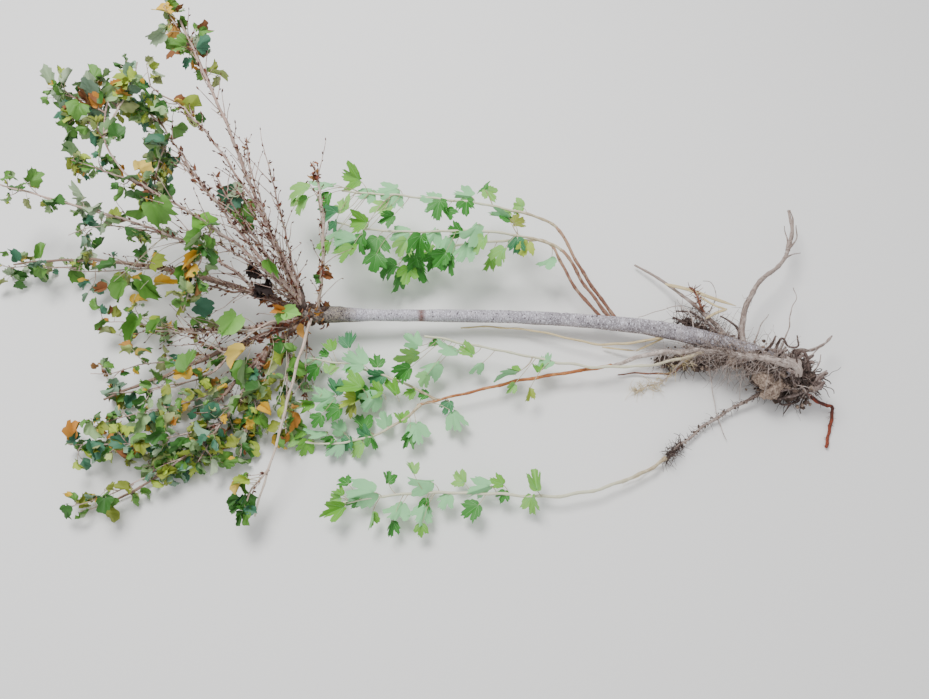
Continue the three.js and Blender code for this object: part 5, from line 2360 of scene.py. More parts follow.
COVERS = (
    Cover(on="twig_high_left", wide=0.030, high=0.030, density=0.6, autumn=0.02),
    Cover(on="twig_high_inner", wide=0.030, high=0.030, density=0.6, autumn=0.05),
    Cover(on="twig_high_right", wide=0.026, high=0.026, density=0.5),
    Cover(on="twig_near_upper", wide=0.038, high=0.034, density=0.17, autumn=0.16),
    Cover(on="twig_near_lower", wide=0.036, high=0.022, density=0.8, autumn=0.0),
    Cover(on="twig_front", wide=0.024, high=0.024, density=0.6, autumn=0.2),
)

PALE, FRESH, DEEP, SEA = Tint.FRESH_PALE, Tint.FRESH, Tint.FRESH_DEEP, Tint.FRESH_SEA

SUCKER_LEAVES = {
    ("leaves_bottom", "shoot_bottom"): (
        SeenLeaf(362, 493, 0.047, 185, PALE, under=True, rise=0.015),
        SeenLeaf(420, 482, 0.044, 185, PALE, under=True, rise=0.012),
        SeenLeaf(480, 489, 0.041, 200, PALE, under=True, rise=0.012),
        SeenLeaf(536, 480, 0.041, 95, PALE, rise=0.010), SeenLeaf(532, 504, 0.032, 268, PALE),
        SeenLeaf(334, 511, 0.041, 205, FRESH), SeenLeaf(338, 492, 0.023, 150, FRESH),
        SeenLeaf(335, 499, 0.021, 195, PALE), SeenLeaf(397, 512, 0.038, 240, PALE, under=True),
        SeenLeaf(391, 528, 0.026, 258, DEEP), SeenLeaf(422, 515, 0.034, 255, PALE, under=True),
        SeenLeaf(426, 505, 0.024, 270, DEEP), SeenLeaf(421, 530, 0.021, 265, FRESH),
        SeenLeaf(471, 510, 0.034, 215, DEEP), SeenLeaf(445, 501, 0.028, 240, PALE, under=True),
        SeenLeaf(459, 478, 0.028, 140, PALE), SeenLeaf(503, 496, 0.021, 250, DEEP),
        SeenLeaf(497, 482, 0.025, 160, FRESH), SeenLeaf(412, 467, 0.025, 105, PALE, rise=0.02),
        SeenLeaf(389, 477, 0.024, 85, DEEP), SeenLeaf(371, 519, 0.026, 262, FRESH),
        SeenLeaf(344, 480, 0.023, 140, DEEP), SeenLeaf(353, 502, 0.028, 200, DEEP)),
    ("leaves_mid", "shoot_mid"): (
        SeenLeaf(413, 341, 0.032, 135, PALE, under=True, rise=0.012),
        SeenLeaf(407, 358, 0.043, 200, PALE, under=True, rise=0.014), SeenLeaf(402, 373, 0.038, 215, DEEP),
        SeenLeaf(431, 370, 0.044, 222, PALE, under=True), SeenLeaf(423, 380, 0.028, 235, FRESH),
        SeenLeaf(447, 348, 0.043, 162, PALE, under=True, rise=0.010), SeenLeaf(433, 343, 0.023, 170, DEEP),
        SeenLeaf(466, 351, 0.032, 150, PALE), SeenLeaf(475, 366, 0.034, 205, PALE, under=True),
        SeenLeaf(505, 374, 0.041, 178, PALE), SeenLeaf(513, 369, 0.024, 150, FRESH),
        SeenLeaf(546, 362, 0.030, 40, PALE, under=True), SeenLeaf(538, 367, 0.023, 95, FRESH),
        SeenLeaf(511, 388, 0.021, 230, PALE), SeenLeaf(529, 394, 0.023, 262, Tint.LIME)),
    ("leaves_low_far", "shoot_low_branch_far"): (
        SeenLeaf(355, 360, 0.043, 150, PALE, under=True, rise=0.012), SeenLeaf(349, 340, 0.034, 92, SEA),
        SeenLeaf(377, 361, 0.026, 100, DEEP), SeenLeaf(352, 373, 0.023, 240, DEEP),
        SeenLeaf(331, 345, 0.025, 110, FRESH), SeenLeaf(324, 353, 0.021, 150, DEEP),
        SeenLeaf(313, 361, 0.030, 185, PALE, under=True), SeenLeaf(313, 373, 0.030, 235, DEEP),
        SeenLeaf(296, 376, 0.028, 250, DEEP), SeenLeaf(297, 364, 0.026, 160, PALE),
        SeenLeaf(331, 368, 0.026, 75, PALE), SeenLeaf(376, 377, 0.034, 200, SEA),
        SeenLeaf(409, 392, 0.023, 200, FRESH), SeenLeaf(423, 394, 0.021, 180, DEEP)),
    ("leaves_low_middle", "leaves_low_middle"): (
        SeenLeaf(370, 401, 0.039, 225, PALE, under=True), SeenLeaf(350, 386, 0.047, 172, FRESH, rise=0.012),
        SeenLeaf(352, 403, 0.039, 212, Tint.LIME), SeenLeaf(323, 399, 0.039, 200, PALE, under=True),
        SeenLeaf(334, 388, 0.036, 120, SEA), SeenLeaf(333, 413, 0.034, 215, DEEP),
        SeenLeaf(351, 411, 0.028, 260, Tint.OLIVE), SeenLeaf(317, 420, 0.026, 230, DEEP),
        SeenLeaf(391, 388, 0.036, 130, FRESH), SeenLeaf(375, 390, 0.030, 165, FRESH),
        SeenLeaf(306, 404, 0.030, 190, FRESH), SeenLeaf(362, 394, 0.032, 280, DEEP)),
    ("leaves_low_near", "shoot_low_branch_near"): (
        SeenLeaf(402, 416, 0.027, 95, FRESH), SeenLeaf(385, 420, 0.029, 112, PALE, under=True),
        SeenLeaf(417, 433, 0.039, 278, PALE, under=True), SeenLeaf(407, 440, 0.028, 250, DEEP),
        SeenLeaf(361, 421, 0.038, 120, DEEP), SeenLeaf(316, 432, 0.038, 185, PALE, under=True),
        SeenLeaf(337, 428, 0.030, 150, PALE, under=True), SeenLeaf(305, 448, 0.032, 262, FRESH),
        SeenLeaf(299, 431, 0.028, 190, FRESH), SeenLeaf(295, 421, 0.028, 150, PALE),
        SeenLeaf(334, 448, 0.034, 225, SEA, under=True), SeenLeaf(347, 443, 0.026, 250, SEA),
        SeenLeaf(357, 449, 0.032, 235, PALE), SeenLeaf(374, 439, 0.032, 300, DEEP),
        SeenLeaf(328, 441, 0.023, 210, DEEP), SeenLeaf(363, 434, 0.028, 160, SEA),
        SeenLeaf(292, 439, 0.028, 185, PALE), SeenLeaf(455, 421, 0.041, 285, PALE, under=True),
        SeenLeaf(447, 407, 0.026, 250, SEA)),
    ("leaves_upper_a", "shoot_upper_a"): (
        SeenLeaf(322, 183, 0.047, 172, PALE, under=True), SeenLeaf(351, 175, 0.049, 148, FRESH, rise=0.012),
        SeenLeaf(366, 195, 0.036, 230, PALE, under=True), SeenLeaf(388, 190, 0.040, 195, PALE, under=True),
        SeenLeaf(393, 200, 0.036, 250, PALE, under=True), SeenLeaf(381, 209, 0.040, 200, PALE),
        SeenLeaf(387, 219, 0.029, 215, DEEP), SeenLeaf(431, 199, 0.040, 190, PALE, under=True),
        SeenLeaf(438, 208, 0.040, 260, DEEP), SeenLeaf(448, 216, 0.034, 282, DEEP),
        SeenLeaf(464, 194, 0.036, 160, PALE, under=True), SeenLeaf(466, 207, 0.036, 265, DEEP),
        SeenLeaf(482, 185, 0.027, 118, DEEP), SeenLeaf(490, 195, 0.031, 300, PALE),
        SeenLeaf(517, 206, 0.027, 170, PALE), SeenLeaf(298, 191, 0.047, 200, PALE),
        SeenLeaf(301, 204, 0.040, 235, PALE), SeenLeaf(323, 199, 0.036, 230, DEEP),
        SeenLeaf(342, 204, 0.038, 120, PALE), SeenLeaf(328, 215, 0.040, 200, SEA),
        SeenLeaf(336, 227, 0.027, 280, SEA), SeenLeaf(358, 221, 0.040, 170, FRESH),
        SeenLeaf(333, 234, 0.036, 225, PALE, under=True), SeenLeaf(326, 248, 0.029, 245, FRESH),
        SeenLeaf(345, 242, 0.040, 190, PALE, under=True), SeenLeaf(348, 255, 0.043, 250, FRESH),
        SeenLeaf(361, 242, 0.040, 265, DEEP)),
    ("leaves_upper_b", "shoot_upper_b"): (
        SeenLeaf(376, 246, 0.043, 265, DEEP), SeenLeaf(375, 261, 0.036, 265, DEEP),
        SeenLeaf(400, 235, 0.040, 190, PALE, under=True), SeenLeaf(402, 246, 0.034, 240, PALE),
        SeenLeaf(419, 244, 0.043, 262, DEEP), SeenLeaf(431, 236, 0.040, 240, PALE, under=True),
        SeenLeaf(444, 246, 0.043, 250, PALE, under=True), SeenLeaf(440, 259, 0.040, 235, DEEP),
        SeenLeaf(452, 264, 0.038, 275, DEEP), SeenLeaf(470, 232, 0.052, 235, PALE, under=True, rise=0.012),
        SeenLeaf(463, 251, 0.043, 250, PALE, under=True), SeenLeaf(480, 245, 0.040, 245, PALE),
        SeenLeaf(500, 215, 0.040, 160, PALE), SeenLeaf(509, 216, 0.031, 100, DEEP),
        SeenLeaf(519, 221, 0.029, 30, Tint.OLIVE), SeenLeaf(500, 255, 0.036, 240, PALE),
        SeenLeaf(517, 245, 0.031, 265, SEA), SeenLeaf(526, 248, 0.029, 250, Tint.LIME),
        SeenLeaf(455, 231, 0.027, 170, DEEP)),
    ("leaves_upper_c", "shoot_upper_c"): (
        SeenLeaf(387, 269, 0.043, 205, DEEP), SeenLeaf(398, 281, 0.043, 285, DEEP),
        SeenLeaf(407, 275, 0.038, 262, FRESH), SeenLeaf(421, 268, 0.052, 290, DEEP),
        SeenLeaf(413, 262, 0.034, 245, DEEP), SeenLeaf(432, 262, 0.036, 255, DEEP),
        SeenLeaf(426, 250, 0.034, 230, FRESH), SeenLeaf(546, 261, 0.036, 222, PALE, under=True),
        SeenLeaf(488, 262, 0.031, 250, FRESH)),
}


ROOT_ROUTES = (
    Route("root_tall_strand_middle", "root_tall", skin=Skin.ROOT, thick=(0.0060, 0.0016),
          seen=((790, 252, 0.055), (792, 238, 0.056), (793, 226, 0.058), (791, 210, 0.058))),
    Route("root_tall_strand_left", "root_tall", skin=Skin.ROOT, thick=(0.0044, 0.0014),
          seen=((789, 254, 0.055), (787, 240, 0.052), (785, 226, 0.050))),
    Route("root_tall_strand_right", "root_tall", skin=Skin.ROOT, thick=(0.0044, 0.0014),
          seen=((790, 252, 0.055), (796, 240, 0.060), (796, 225, 0.062))),
    Route("root_tall_spur", "root_tall", skin=Skin.ROOT, thick=(0.0040, 0.0012),
          seen=((786, 260, 0.055), (792, 255, 0.060), (801, 253, 0.062))),
    Route("root_thin_upper", "root_crown", skin=Skin.ROOT, thick=(0.0034, 0.0012),
          seen=((786, 345, 0.080), (788, 329, 0.070), (791, 310, 0.055), (796, 298, 0.048),
                (793, 288, 0.042))),
    Route("root_thin_second", "trunk", skin=Skin.ROOT, thick=(0.0034, 0.0012),
          seen=((757, 343, 0.070), (760, 327, 0.075), (768, 314, 0.070))),
    Route("root_stub_dark", "root_crown", skin=Skin.DARK_ROOT, thick=(0.0080, 0.0036),
          seen=((764, 354, 0.080), (770, 345, 0.092), (776, 336, 0.098))),
    Route("root_hook", "root_crown", skin=Skin.DARK_ROOT, thick=(0.0056, 0.0026),
          seen=((778, 350, 0.085), (781, 339, 0.095), (788, 346, 0.098), (798, 346, 0.092),
                (797, 336, 0.085))),
    Route("root_pink", "root_crown", skin=Skin.ROOT, thick=(0.0064, 0.0022),
          seen=((784, 353, 0.085), (796, 350, 0.088), (809, 350, 0.078), (821, 346, 0.062),
                (832, 336, 0.050))),
    Route("root_pink_branch", "root_pink", skin=Skin.ROOT, thick=(0.0036, 0.0014),
          seen=((800, 350, 0.085), (806, 358, 0.082), (822, 346, 0.070))),
    Route("root_hoop_outer", "root_crown", skin=Skin.DARK_ROOT, thick=(0.0058, 0.0034),
          seen=((796, 360, 0.085), (800, 352, 0.100), (807, 357, 0.100), (809, 369, 0.085),
                (808, 384, 0.055))),
    Route("root_hoop_inner", "root_crown", skin=Skin.DARK_ROOT, thick=(0.0050, 0.0030),
          seen=((792, 362, 0.085), (794, 350, 0.105), (797, 358, 0.108), (798, 368, 0.098))),
    Route("root_curl_right", "root_crown", skin=Skin.ROOT, thick=(0.0034, 0.0014),
          seen=((806, 380, 0.050), (814, 372, 0.062), (819, 362, 0.070), (821, 355, 0.070))),
    Route("root_hook_bottom", "root_crown", skin=Skin.DARK_ROOT, thick=(0.0052, 0.0018),
          seen=((806, 382, 0.050), (813, 388, 0.044), (821, 395, 0.030))),
    Route("root_bottom_curl", "root_crown", skin=Skin.DARK_ROOT, thick=(0.0052, 0.0020),
          seen=((768, 392, 0.030), (778, 400, 0.022), (790, 404, 0.018), (800, 399, 0.024),
                (806, 390, 0.032))),
    Route("root_bottom_tip", "root_bottom_curl", skin=Skin.DARK_ROOT, thick=(0.0034, 0.0014),
          seen=((790, 404, 0.018), (786, 410, 0.012), (783, 414, 0.008))),
    Route("root_fibre_long", "root_lateral", skin=Skin.PALE_ROOT, thick=(0.0026, 0.0010),
          seen=((709, 351, 0.058), (710, 372, 0.030), (713, 392, 0.014), (719, 420, 0.008),
                (727, 440, 0.005))),
    Route("root_fibre_short", "root_lateral", skin=Skin.PALE_ROOT, thick=(0.0022, 0.0010),
          seen=((742, 356, 0.070), (742, 372, 0.045), (740, 401, 0.012))),
    Route("root_spray", "root_lateral", skin=Skin.PALE_ROOT, thick=(0.0044, 0.0016),
          seen=((704, 354, 0.055), (690, 358, 0.045), (678, 366, 0.030), (668, 378, 0.016),
                (652, 384, 0.010), (634, 391, 0.006))),
    Route("root_red", "root_lateral", skin=Skin.BROWN_ROOT, thick=(0.0046, 0.0022),
          seen=((688, 356, 0.040), (676, 371, 0.020), (657, 374, 0.012), (638, 373, 0.010),
                (618, 375, 0.008))),
    Route("root_dark_long", "trunk", skin=Skin.DARK_ROOT, thick=(0.0082, 0.0036),
          seen=((731, 344, 0.060), (714, 333, 0.052), (697, 327, 0.045), (684, 322, 0.040),
                (673, 318, 0.036))),
    Route("root_dark_low", "trunk", skin=Skin.DARK_ROOT, thick=(0.0078, 0.0032),
          seen=((738, 346, 0.060), (722, 336, 0.056), (706, 331, 0.050), (692, 324, 0.046),
                (678, 322, 0.040))),
    Route("root_dark_cross", "root_dark_long", skin=Skin.DARK_ROOT, thick=(0.0060, 0.0026),
          seen=((722, 338, 0.055), (712, 327, 0.058), (700, 318, 0.054), (690, 313, 0.048),
                (676, 311, 0.040))),
    Route("root_dark_curve", "trunk", skin=Skin.DARK_ROOT, thick=(0.0064, 0.0028),
          seen=((742, 343, 0.060), (739, 332, 0.068), (731, 322, 0.064), (720, 316, 0.055))),
    Route("root_hoop_pale", "trunk", skin=Skin.PALE_ROOT, thick=(0.0024, 0.0012),
          seen=((696, 328, 0.050), (692, 318, 0.056), (684, 307, 0.058), (672, 307, 0.050),
                (655, 312, 0.036), (638, 317, 0.022))),
    Route("root_wisp", "root_upper_left", skin=Skin.ROOT, thick=(0.0022, 0.0010),
          seen=((716, 308, 0.050), (716, 296, 0.048), (711, 283, 0.045), (703, 281, 0.042))),
    Route("root_orange_stub", "root_upper_left", skin=Skin.BROWN_ROOT, thick=(0.0052, 0.0024),
          seen=((704, 314, 0.050), (700, 304, 0.055), (696, 296, 0.055), (691, 288, 0.052))),
    Route("root_knob", "root_lateral", skin=Skin.PALE_ROOT, thick=(0.0140, 0.0110), knots=0.2,
          seen=((786, 363, 0.094), (793, 364, 0.098), (798, 369, 0.094), (798, 375, 0.084))),
    Route("root_dark_soil", "root_lateral", skin=Skin.DARK_ROOT, thick=(0.0060, 0.0030),
          seen=((728, 353, 0.065), (716, 358, 0.045), (700, 364, 0.028), (680, 363, 0.020),
                (657, 359, 0.014))),
    Route("root_tail_straw", "root_low_left", skin=Skin.STRAW, thick=(0.0026, 0.0014),
          seen=((664, 457, 0.010), (652, 467, 0.008), (638, 476, 0.007), (622, 483, 0.006))),
)

CLAY_LUMPS = (     # pixel, height and size
    (761, 369, 0.074, 0.0115), (764, 380, 0.068, 0.0150), (772, 390, 0.054, 0.0150),
    (780, 385, 0.056, 0.0095), (767, 394, 0.046, 0.0100), (757, 376, 0.062, 0.0090))

EARTH = (
    EarthGroup(on="soil_clod", share=(0.05, 0.8), count=34, size=(0.007, 0.015), room=0.014, clay=0.12),
    EarthGroup(on="root_crown", share=(0.1, 0.85), count=26, size=(0.005, 0.010), room=0.014, clay=0.2),
    EarthGroup(on="soil_clod", share=(0.0, 0.85), count=260, size=(0.0016, 0.0042), room=0.020, clay=0.45,
               crumbs=True),
    EarthGroup(on="root_crown", share=(0.0, 0.9), count=220, size=(0.0014, 0.0036), room=0.017, clay=0.5,
               crumbs=True),
    EarthGroup(on="trunk", share=(0.02, 0.10), count=26, size=(0.004, 0.009), room=0.010, clay=0.1,
               drop=0.022),
    EarthGroup(on="root_lateral", share=(0.10, 0.40), count=34, size=(0.004, 0.009), room=0.009, clay=0.15,
               drop=0.020),
    EarthGroup(on="root_dark_soil", share=(0.0, 1.0), count=70, size=(0.0022, 0.0055), room=0.007,
               clay=0.05),
    EarthGroup(on="root_dark_long", share=(0.0, 0.8), count=60, size=(0.0016, 0.0042), room=0.005,
               clay=0.1),
    EarthGroup(on="root_dark_low", share=(0.0, 0.8), count=50, size=(0.0016, 0.0045), room=0.005, clay=0.1),
    EarthGroup(on="root_dark_soil", share=(0.0, 1.0), count=160, size=(0.0012, 0.0030), room=0.010,
               clay=0.15, crumbs=True),
    EarthGroup(on="root_lateral", share=(0.05, 0.65), count=200, size=(0.0010, 0.0026), room=0.010,
               clay=0.3, drop=0.010, crumbs=True),
    EarthGroup(on="root_low_left", share=(0.0, 1.0), count=110, size=(0.0009, 0.0022), room=0.003, clay=0.3,
               crumbs=True),
)

TUFTS = (
    Tuft(on="root_crown", share=(0.1, 1.0), count=130, way=(0.35, -0.1, -0.1), spread=1.0,
         length=(0.012, 0.038), thick=(0.0004, 0.0009), bend=2.6, skin=Skin.ROOT, room=0.016),
    Tuft(on="root_crown", share=(0.45, 1.0), count=70, way=(0.4, -0.1, 0.1), spread=1.0,
         length=(0.026, 0.055), thick=(0.0010, 0.0022), bend=3.2, skin=Skin.DARK_ROOT, room=0.013),
    Tuft(on="root_crown", share=(0.1, 0.9), count=40, way=(0.0, -0.2, 0.1), spread=1.0,
         length=(0.025, 0.050), thick=(0.0006, 0.0014), bend=2.4, skin=Skin.PALE_ROOT, room=0.014),
    Tuft(on="soil_clod", share=(0.0, 0.9), count=200, way=(0.0, -0.5, -0.1), spread=1.0,
         length=(0.015, 0.045), thick=(0.0003, 0.0008), bend=2.0, skin=Skin.DARK_ROOT, room=0.018),
    Tuft(on="trunk", share=(0.00, 0.16), count=260, way=(-0.7, -0.35, -0.3), spread=0.8,
         length=(0.025, 0.080), thick=(0.0003, 0.0008), bend=1.7, skin=Skin.ROOT, room=0.013),
    Tuft(on="root_lateral", share=(0.03, 0.55), count=300, way=(-0.7, 0.0, -0.4), spread=0.6,
         length=(0.02, 0.075), thick=(0.0003, 0.0008), bend=1.7, skin=Skin.ROOT, room=0.004),
    Tuft(on="root_lateral", share=(0.05, 0.75), count=150, way=(-0.6, -0.4, -0.35), spread=0.6,
         length=(0.03, 0.080), thick=(0.0003, 0.0006), bend=1.5, skin=Skin.PALE_ROOT, room=0.004),
    Tuft(on="root_dark_soil", share=(0.0, 1.0), count=200, way=(-0.3, 0.0, 0.1), spread=1.0,
         length=(0.010, 0.040), thick=(0.0003, 0.0009), bend=2.2, skin=Skin.DARK_ROOT, room=0.003),
    Tuft(on="root_dark_long", share=(0.1, 1.0), count=90, way=(-0.6, 0.1, 0.0), spread=0.8,
         length=(0.012, 0.040), thick=(0.0004, 0.0010), bend=1.2, skin=Skin.DARK_ROOT),
    Tuft(on="root_dark_low", share=(0.1, 1.0), count=80, way=(-0.8, 0.1, 0.0), spread=0.6,
         length=(0.015, 0.045), thick=(0.0004, 0.0012), bend=2.0, skin=Skin.DARK_ROOT),
    Tuft(on="root_dark_cross", share=(0.1, 1.0), count=40, way=(-0.8, 0.1, 0.0), spread=0.6,
         length=(0.015, 0.040), thick=(0.0004, 0.0010), bend=2.0, skin=Skin.ROOT),
    Tuft(on="root_upper_left", share=(0.0, 0.45), count=70, way=(-0.3, 0.1, 0.0), spread=1.0,
         length=(0.012, 0.040), thick=(0.0003, 0.0009), bend=1.5, skin=Skin.DARK_ROOT, room=0.003),
    Tuft(on="root_low_left", share=(0.0, 1.0), count=150, way=(-0.9, -0.5, 0.0), spread=0.5,
         length=(0.008, 0.022), thick=(0.0003, 0.0007), bend=1.5, skin=Skin.DARK_ROOT),
    Tuft(on="root_low_left", share=(0.84, 1.0), count=90, way=(-0.5, -0.3, 0.0), spread=0.9,
         length=(0.010, 0.030), thick=(0.0004, 0.0010), bend=2.4, skin=Skin.DARK_ROOT, room=0.003),
    Tuft(on="root_spray", share=(0.15, 1.0), count=110, way=(-0.5, -0.1, 0.0), spread=0.9,
         length=(0.008, 0.034), thick=(0.0003, 0.0008), bend=1.8, skin=Skin.STRAW),
    Tuft(on="root_orange_stub", share=(0.1, 1.0), count=36, way=(-0.2, 0.6, 0.1), spread=0.6,
         length=(0.008, 0.022), thick=(0.0005, 0.0013), bend=1.0, skin=Skin.BROWN_ROOT),
    Tuft(on="root_orange", share=(0.1, 1.0), count=40, way=(0.0, 0.0, 0.0), spread=1.0,
         length=(0.003, 0.008), thick=(0.0003, 0.0007), bend=0.8, skin=Skin.RUSTY_ROOT),
    Tuft(on="root_tall", share=(0.0, 0.3), count=24, way=(0.0, 0.5, 0.0), spread=1.0, length=(0.010, 0.030),
         thick=(0.0003, 0.0006), bend=1.0, skin=Skin.ROOT),
)

STRAWS = (      # the bends of each, as pixels and heights, and its width
    (((665, 284, 0.045), (690, 290, 0.052), (712, 298, 0.056), (736, 306, 0.058)), 0.0080),
    (((727, 309, 0.060), (716, 313, 0.058), (705, 319, 0.054)), 0.0060),
    (((700, 297, 0.055), (716, 306, 0.060), (727, 309, 0.060)), 0.0050),
    (((602, 347, 0.010), (618, 349, 0.016), (636, 351, 0.022)), 0.0040),
    (((636, 351, 0.022), (651, 344, 0.032), (668, 336, 0.042)), 0.0040))

CANE_ROUTES = (
    Route("cane_fine_high", "trunk",
          seen=((300, 300, 0.07), (278, 255, 0.17), (262, 205, 0.25), (250, 170, 0.29), (245, 138, 0.31))),
    Route("cane_fine_tip", "trunk",
          seen=((300, 302, 0.07), (288, 245, 0.17), (277, 200, 0.24), (268, 162, 0.29))),
    Route("cane_fine_broad", "trunk",
          seen=((298, 300, 0.07), (270, 262, 0.14), (240, 225, 0.20), (205, 190, 0.25), (178, 160, 0.28))),
    Route("cane_fine_left", "trunk",
          seen=((296, 302, 0.07), (250, 264, 0.13), (215, 242, 0.17), (180, 228, 0.19))),
    Route("cane_fine_level", "trunk", skin=Skin.BOUGH, thick=(0.0066, 0.0030),
          seen=((296, 306, 0.06), (262, 292, 0.10), (232, 291, 0.12), (203, 284, 0.13))),
    Route("cane_fine_middle", "trunk",
          seen=((299, 300, 0.07), (262, 248, 0.17), (232, 205, 0.24), (213, 172, 0.28))),
    Route("cane_fine_steep", "trunk",
          seen=((301, 300, 0.07), (283, 262, 0.15), (262, 228, 0.21), (236, 186, 0.27))),
    Route("cane_fine_down", "trunk", skin=Skin.BOUGH, thick=(0.0042, 0.0018),
          seen=((306, 318, 0.05), (307, 345, 0.040), (306, 372, 0.028), (304, 408, 0.018))),
    Route("cane_pale_left", "bough_low", skin=Skin.PALE_CANE, thick=(0.0044, 0.0020),
          seen=((282, 325, 0.05), (232, 332, 0.075), (185, 332, 0.085), (143, 331, 0.08))),
    Route("cane_pale_short", "bough_low", skin=Skin.PALE_CANE, thick=(0.0044, 0.0020),
          seen=((238, 358, 0.05), (225, 352, 0.060), (208, 344, 0.068), (193, 336, 0.07))),
    Route("cane_pale_upper", "bough_low", skin=Skin.PALE_CANE, thick=(0.0050, 0.0022),
          seen=((290, 318, 0.06), (272, 322, 0.075), (250, 335, 0.075), (225, 352, 0.065))),
    Route("cane_pale_bottom", "cane_bottom", skin=Skin.PALE_CANE, thick=(0.0046, 0.0022),
          seen=((176, 462, 0.020), (160, 474, 0.014), (130, 492, 0.010), (98, 507, 0.008),
                (80, 511, 0.006))),
    Route("cane_pale_tip", "cane_far", skin=Skin.PALE_CANE, thick=(0.0036, 0.0018),
          seen=((112, 132, 0.33), (124, 100, 0.34), (134, 76, 0.35), (138, 62, 0.36))),
    Route("twig_high_left", "cane_far", thick=(0.0026, 0.0014),
          seen=((110, 142, 0.340), (95, 127, 0.345), (78, 117, 0.345), (62, 112, 0.340))),
    Route("twig_high_inner", "cane_pale_tip", thick=(0.0024, 0.0012),
          seen=((121, 110, 0.338), (112, 100, 0.340), (100, 90, 0.345), (84, 83, 0.345))),
    Route("twig_high_right", "cane_upper", thick=(0.0026, 0.0014),
          seen=((164, 128, 0.280), (154, 117, 0.290), (142, 108, 0.300), (128, 104, 0.310))),
    Route("twig_near_upper", "bough_low", thick=(0.0036, 0.0016),
          seen=((240, 352, 0.048), (205, 376, 0.055), (155, 389, 0.050), (104, 394, 0.045))),
    Route("twig_near_lower", "cane_bottom", thick=(0.0034, 0.0016),
          seen=((222, 430, 0.030), (198, 449, 0.030), (168, 461, 0.026), (142, 468, 0.024))),
    Route("twig_front", "bough_low_dark", thick=(0.0032, 0.0014),
          seen=((268, 372, 0.040), (255, 408, 0.042), (245, 436, 0.034), (240, 456, 0.028))),
    Route("cane_dry_tip", "cane_dry_down", skin=Skin.PALE_CANE, thick=(0.0040, 0.0020),
          seen=((266, 470, 0.070), (256, 484, 0.070), (247, 497, 0.064), (242, 512, 0.056))),
    Route("cane_stub_dark", "trunk", skin=Skin.DARK_ROOT, thick=(0.0110, 0.0060),
          seen=((306, 312, 0.07), (303, 300, 0.090), (300, 286, 0.105))),
)

CANE_DRESS = (      # cane, from and to as shares of its length
    ("cane_top", 0.06, 0.95), ("cane_top_inner", 0.06, 1.0), ("cane_upper", 0.06, 1.0),
    ("cane_leafy", 0.06, 1.0), ("cane_left_high", 0.05, 0.6), ("bough_left", 0.05, 0.6),
    ("cane_left_low", 0.05, 0.8), ("bough_low", 0.05, 0.7), ("bough_low_dark", 0.05, 0.9),
    ("cane_bottom", 0.05, 0.6),
    ("cane_fine_high", 0.1, 1.0), ("cane_fine_tip", 0.1, 1.0), ("cane_fine_broad", 0.1, 1.0),
    ("cane_fine_left", 0.1, 1.0), ("cane_fine_level", 0.1, 1.0), ("cane_fine_middle", 0.1, 1.0),
    ("cane_fine_steep", 0.1, 1.0), ("cane_fine_down", 0.1, 1.0), ("cane_pale_left", 0.2, 1.0),
    ("cane_pale_short", 0.3, 1.0), ("cane_dry_right", 0.1, 1.0), ("cane_dry_tip", 0.1, 0.5),
)

FLAKES = (      # limb, from and to as shares of its length, how many, and how far from its middle
    ("trunk", 0.960, 1.0, 170, 0.0085), ("bough_left", 0.0, 0.15, 60, 0.006),
    ("bough_low", 0.0, 0.35, 80, 0.005), ("bough_low_dark", 0.0, 0.5, 60, 0.005),
    ("cane_left_low", 0.0, 0.2, 24, 0.004),
    ("cane_dry_right", 0.3, 0.4, 14, 0.004), ("cane_dry_right", 0.9, 1.0, 14, 0.003))

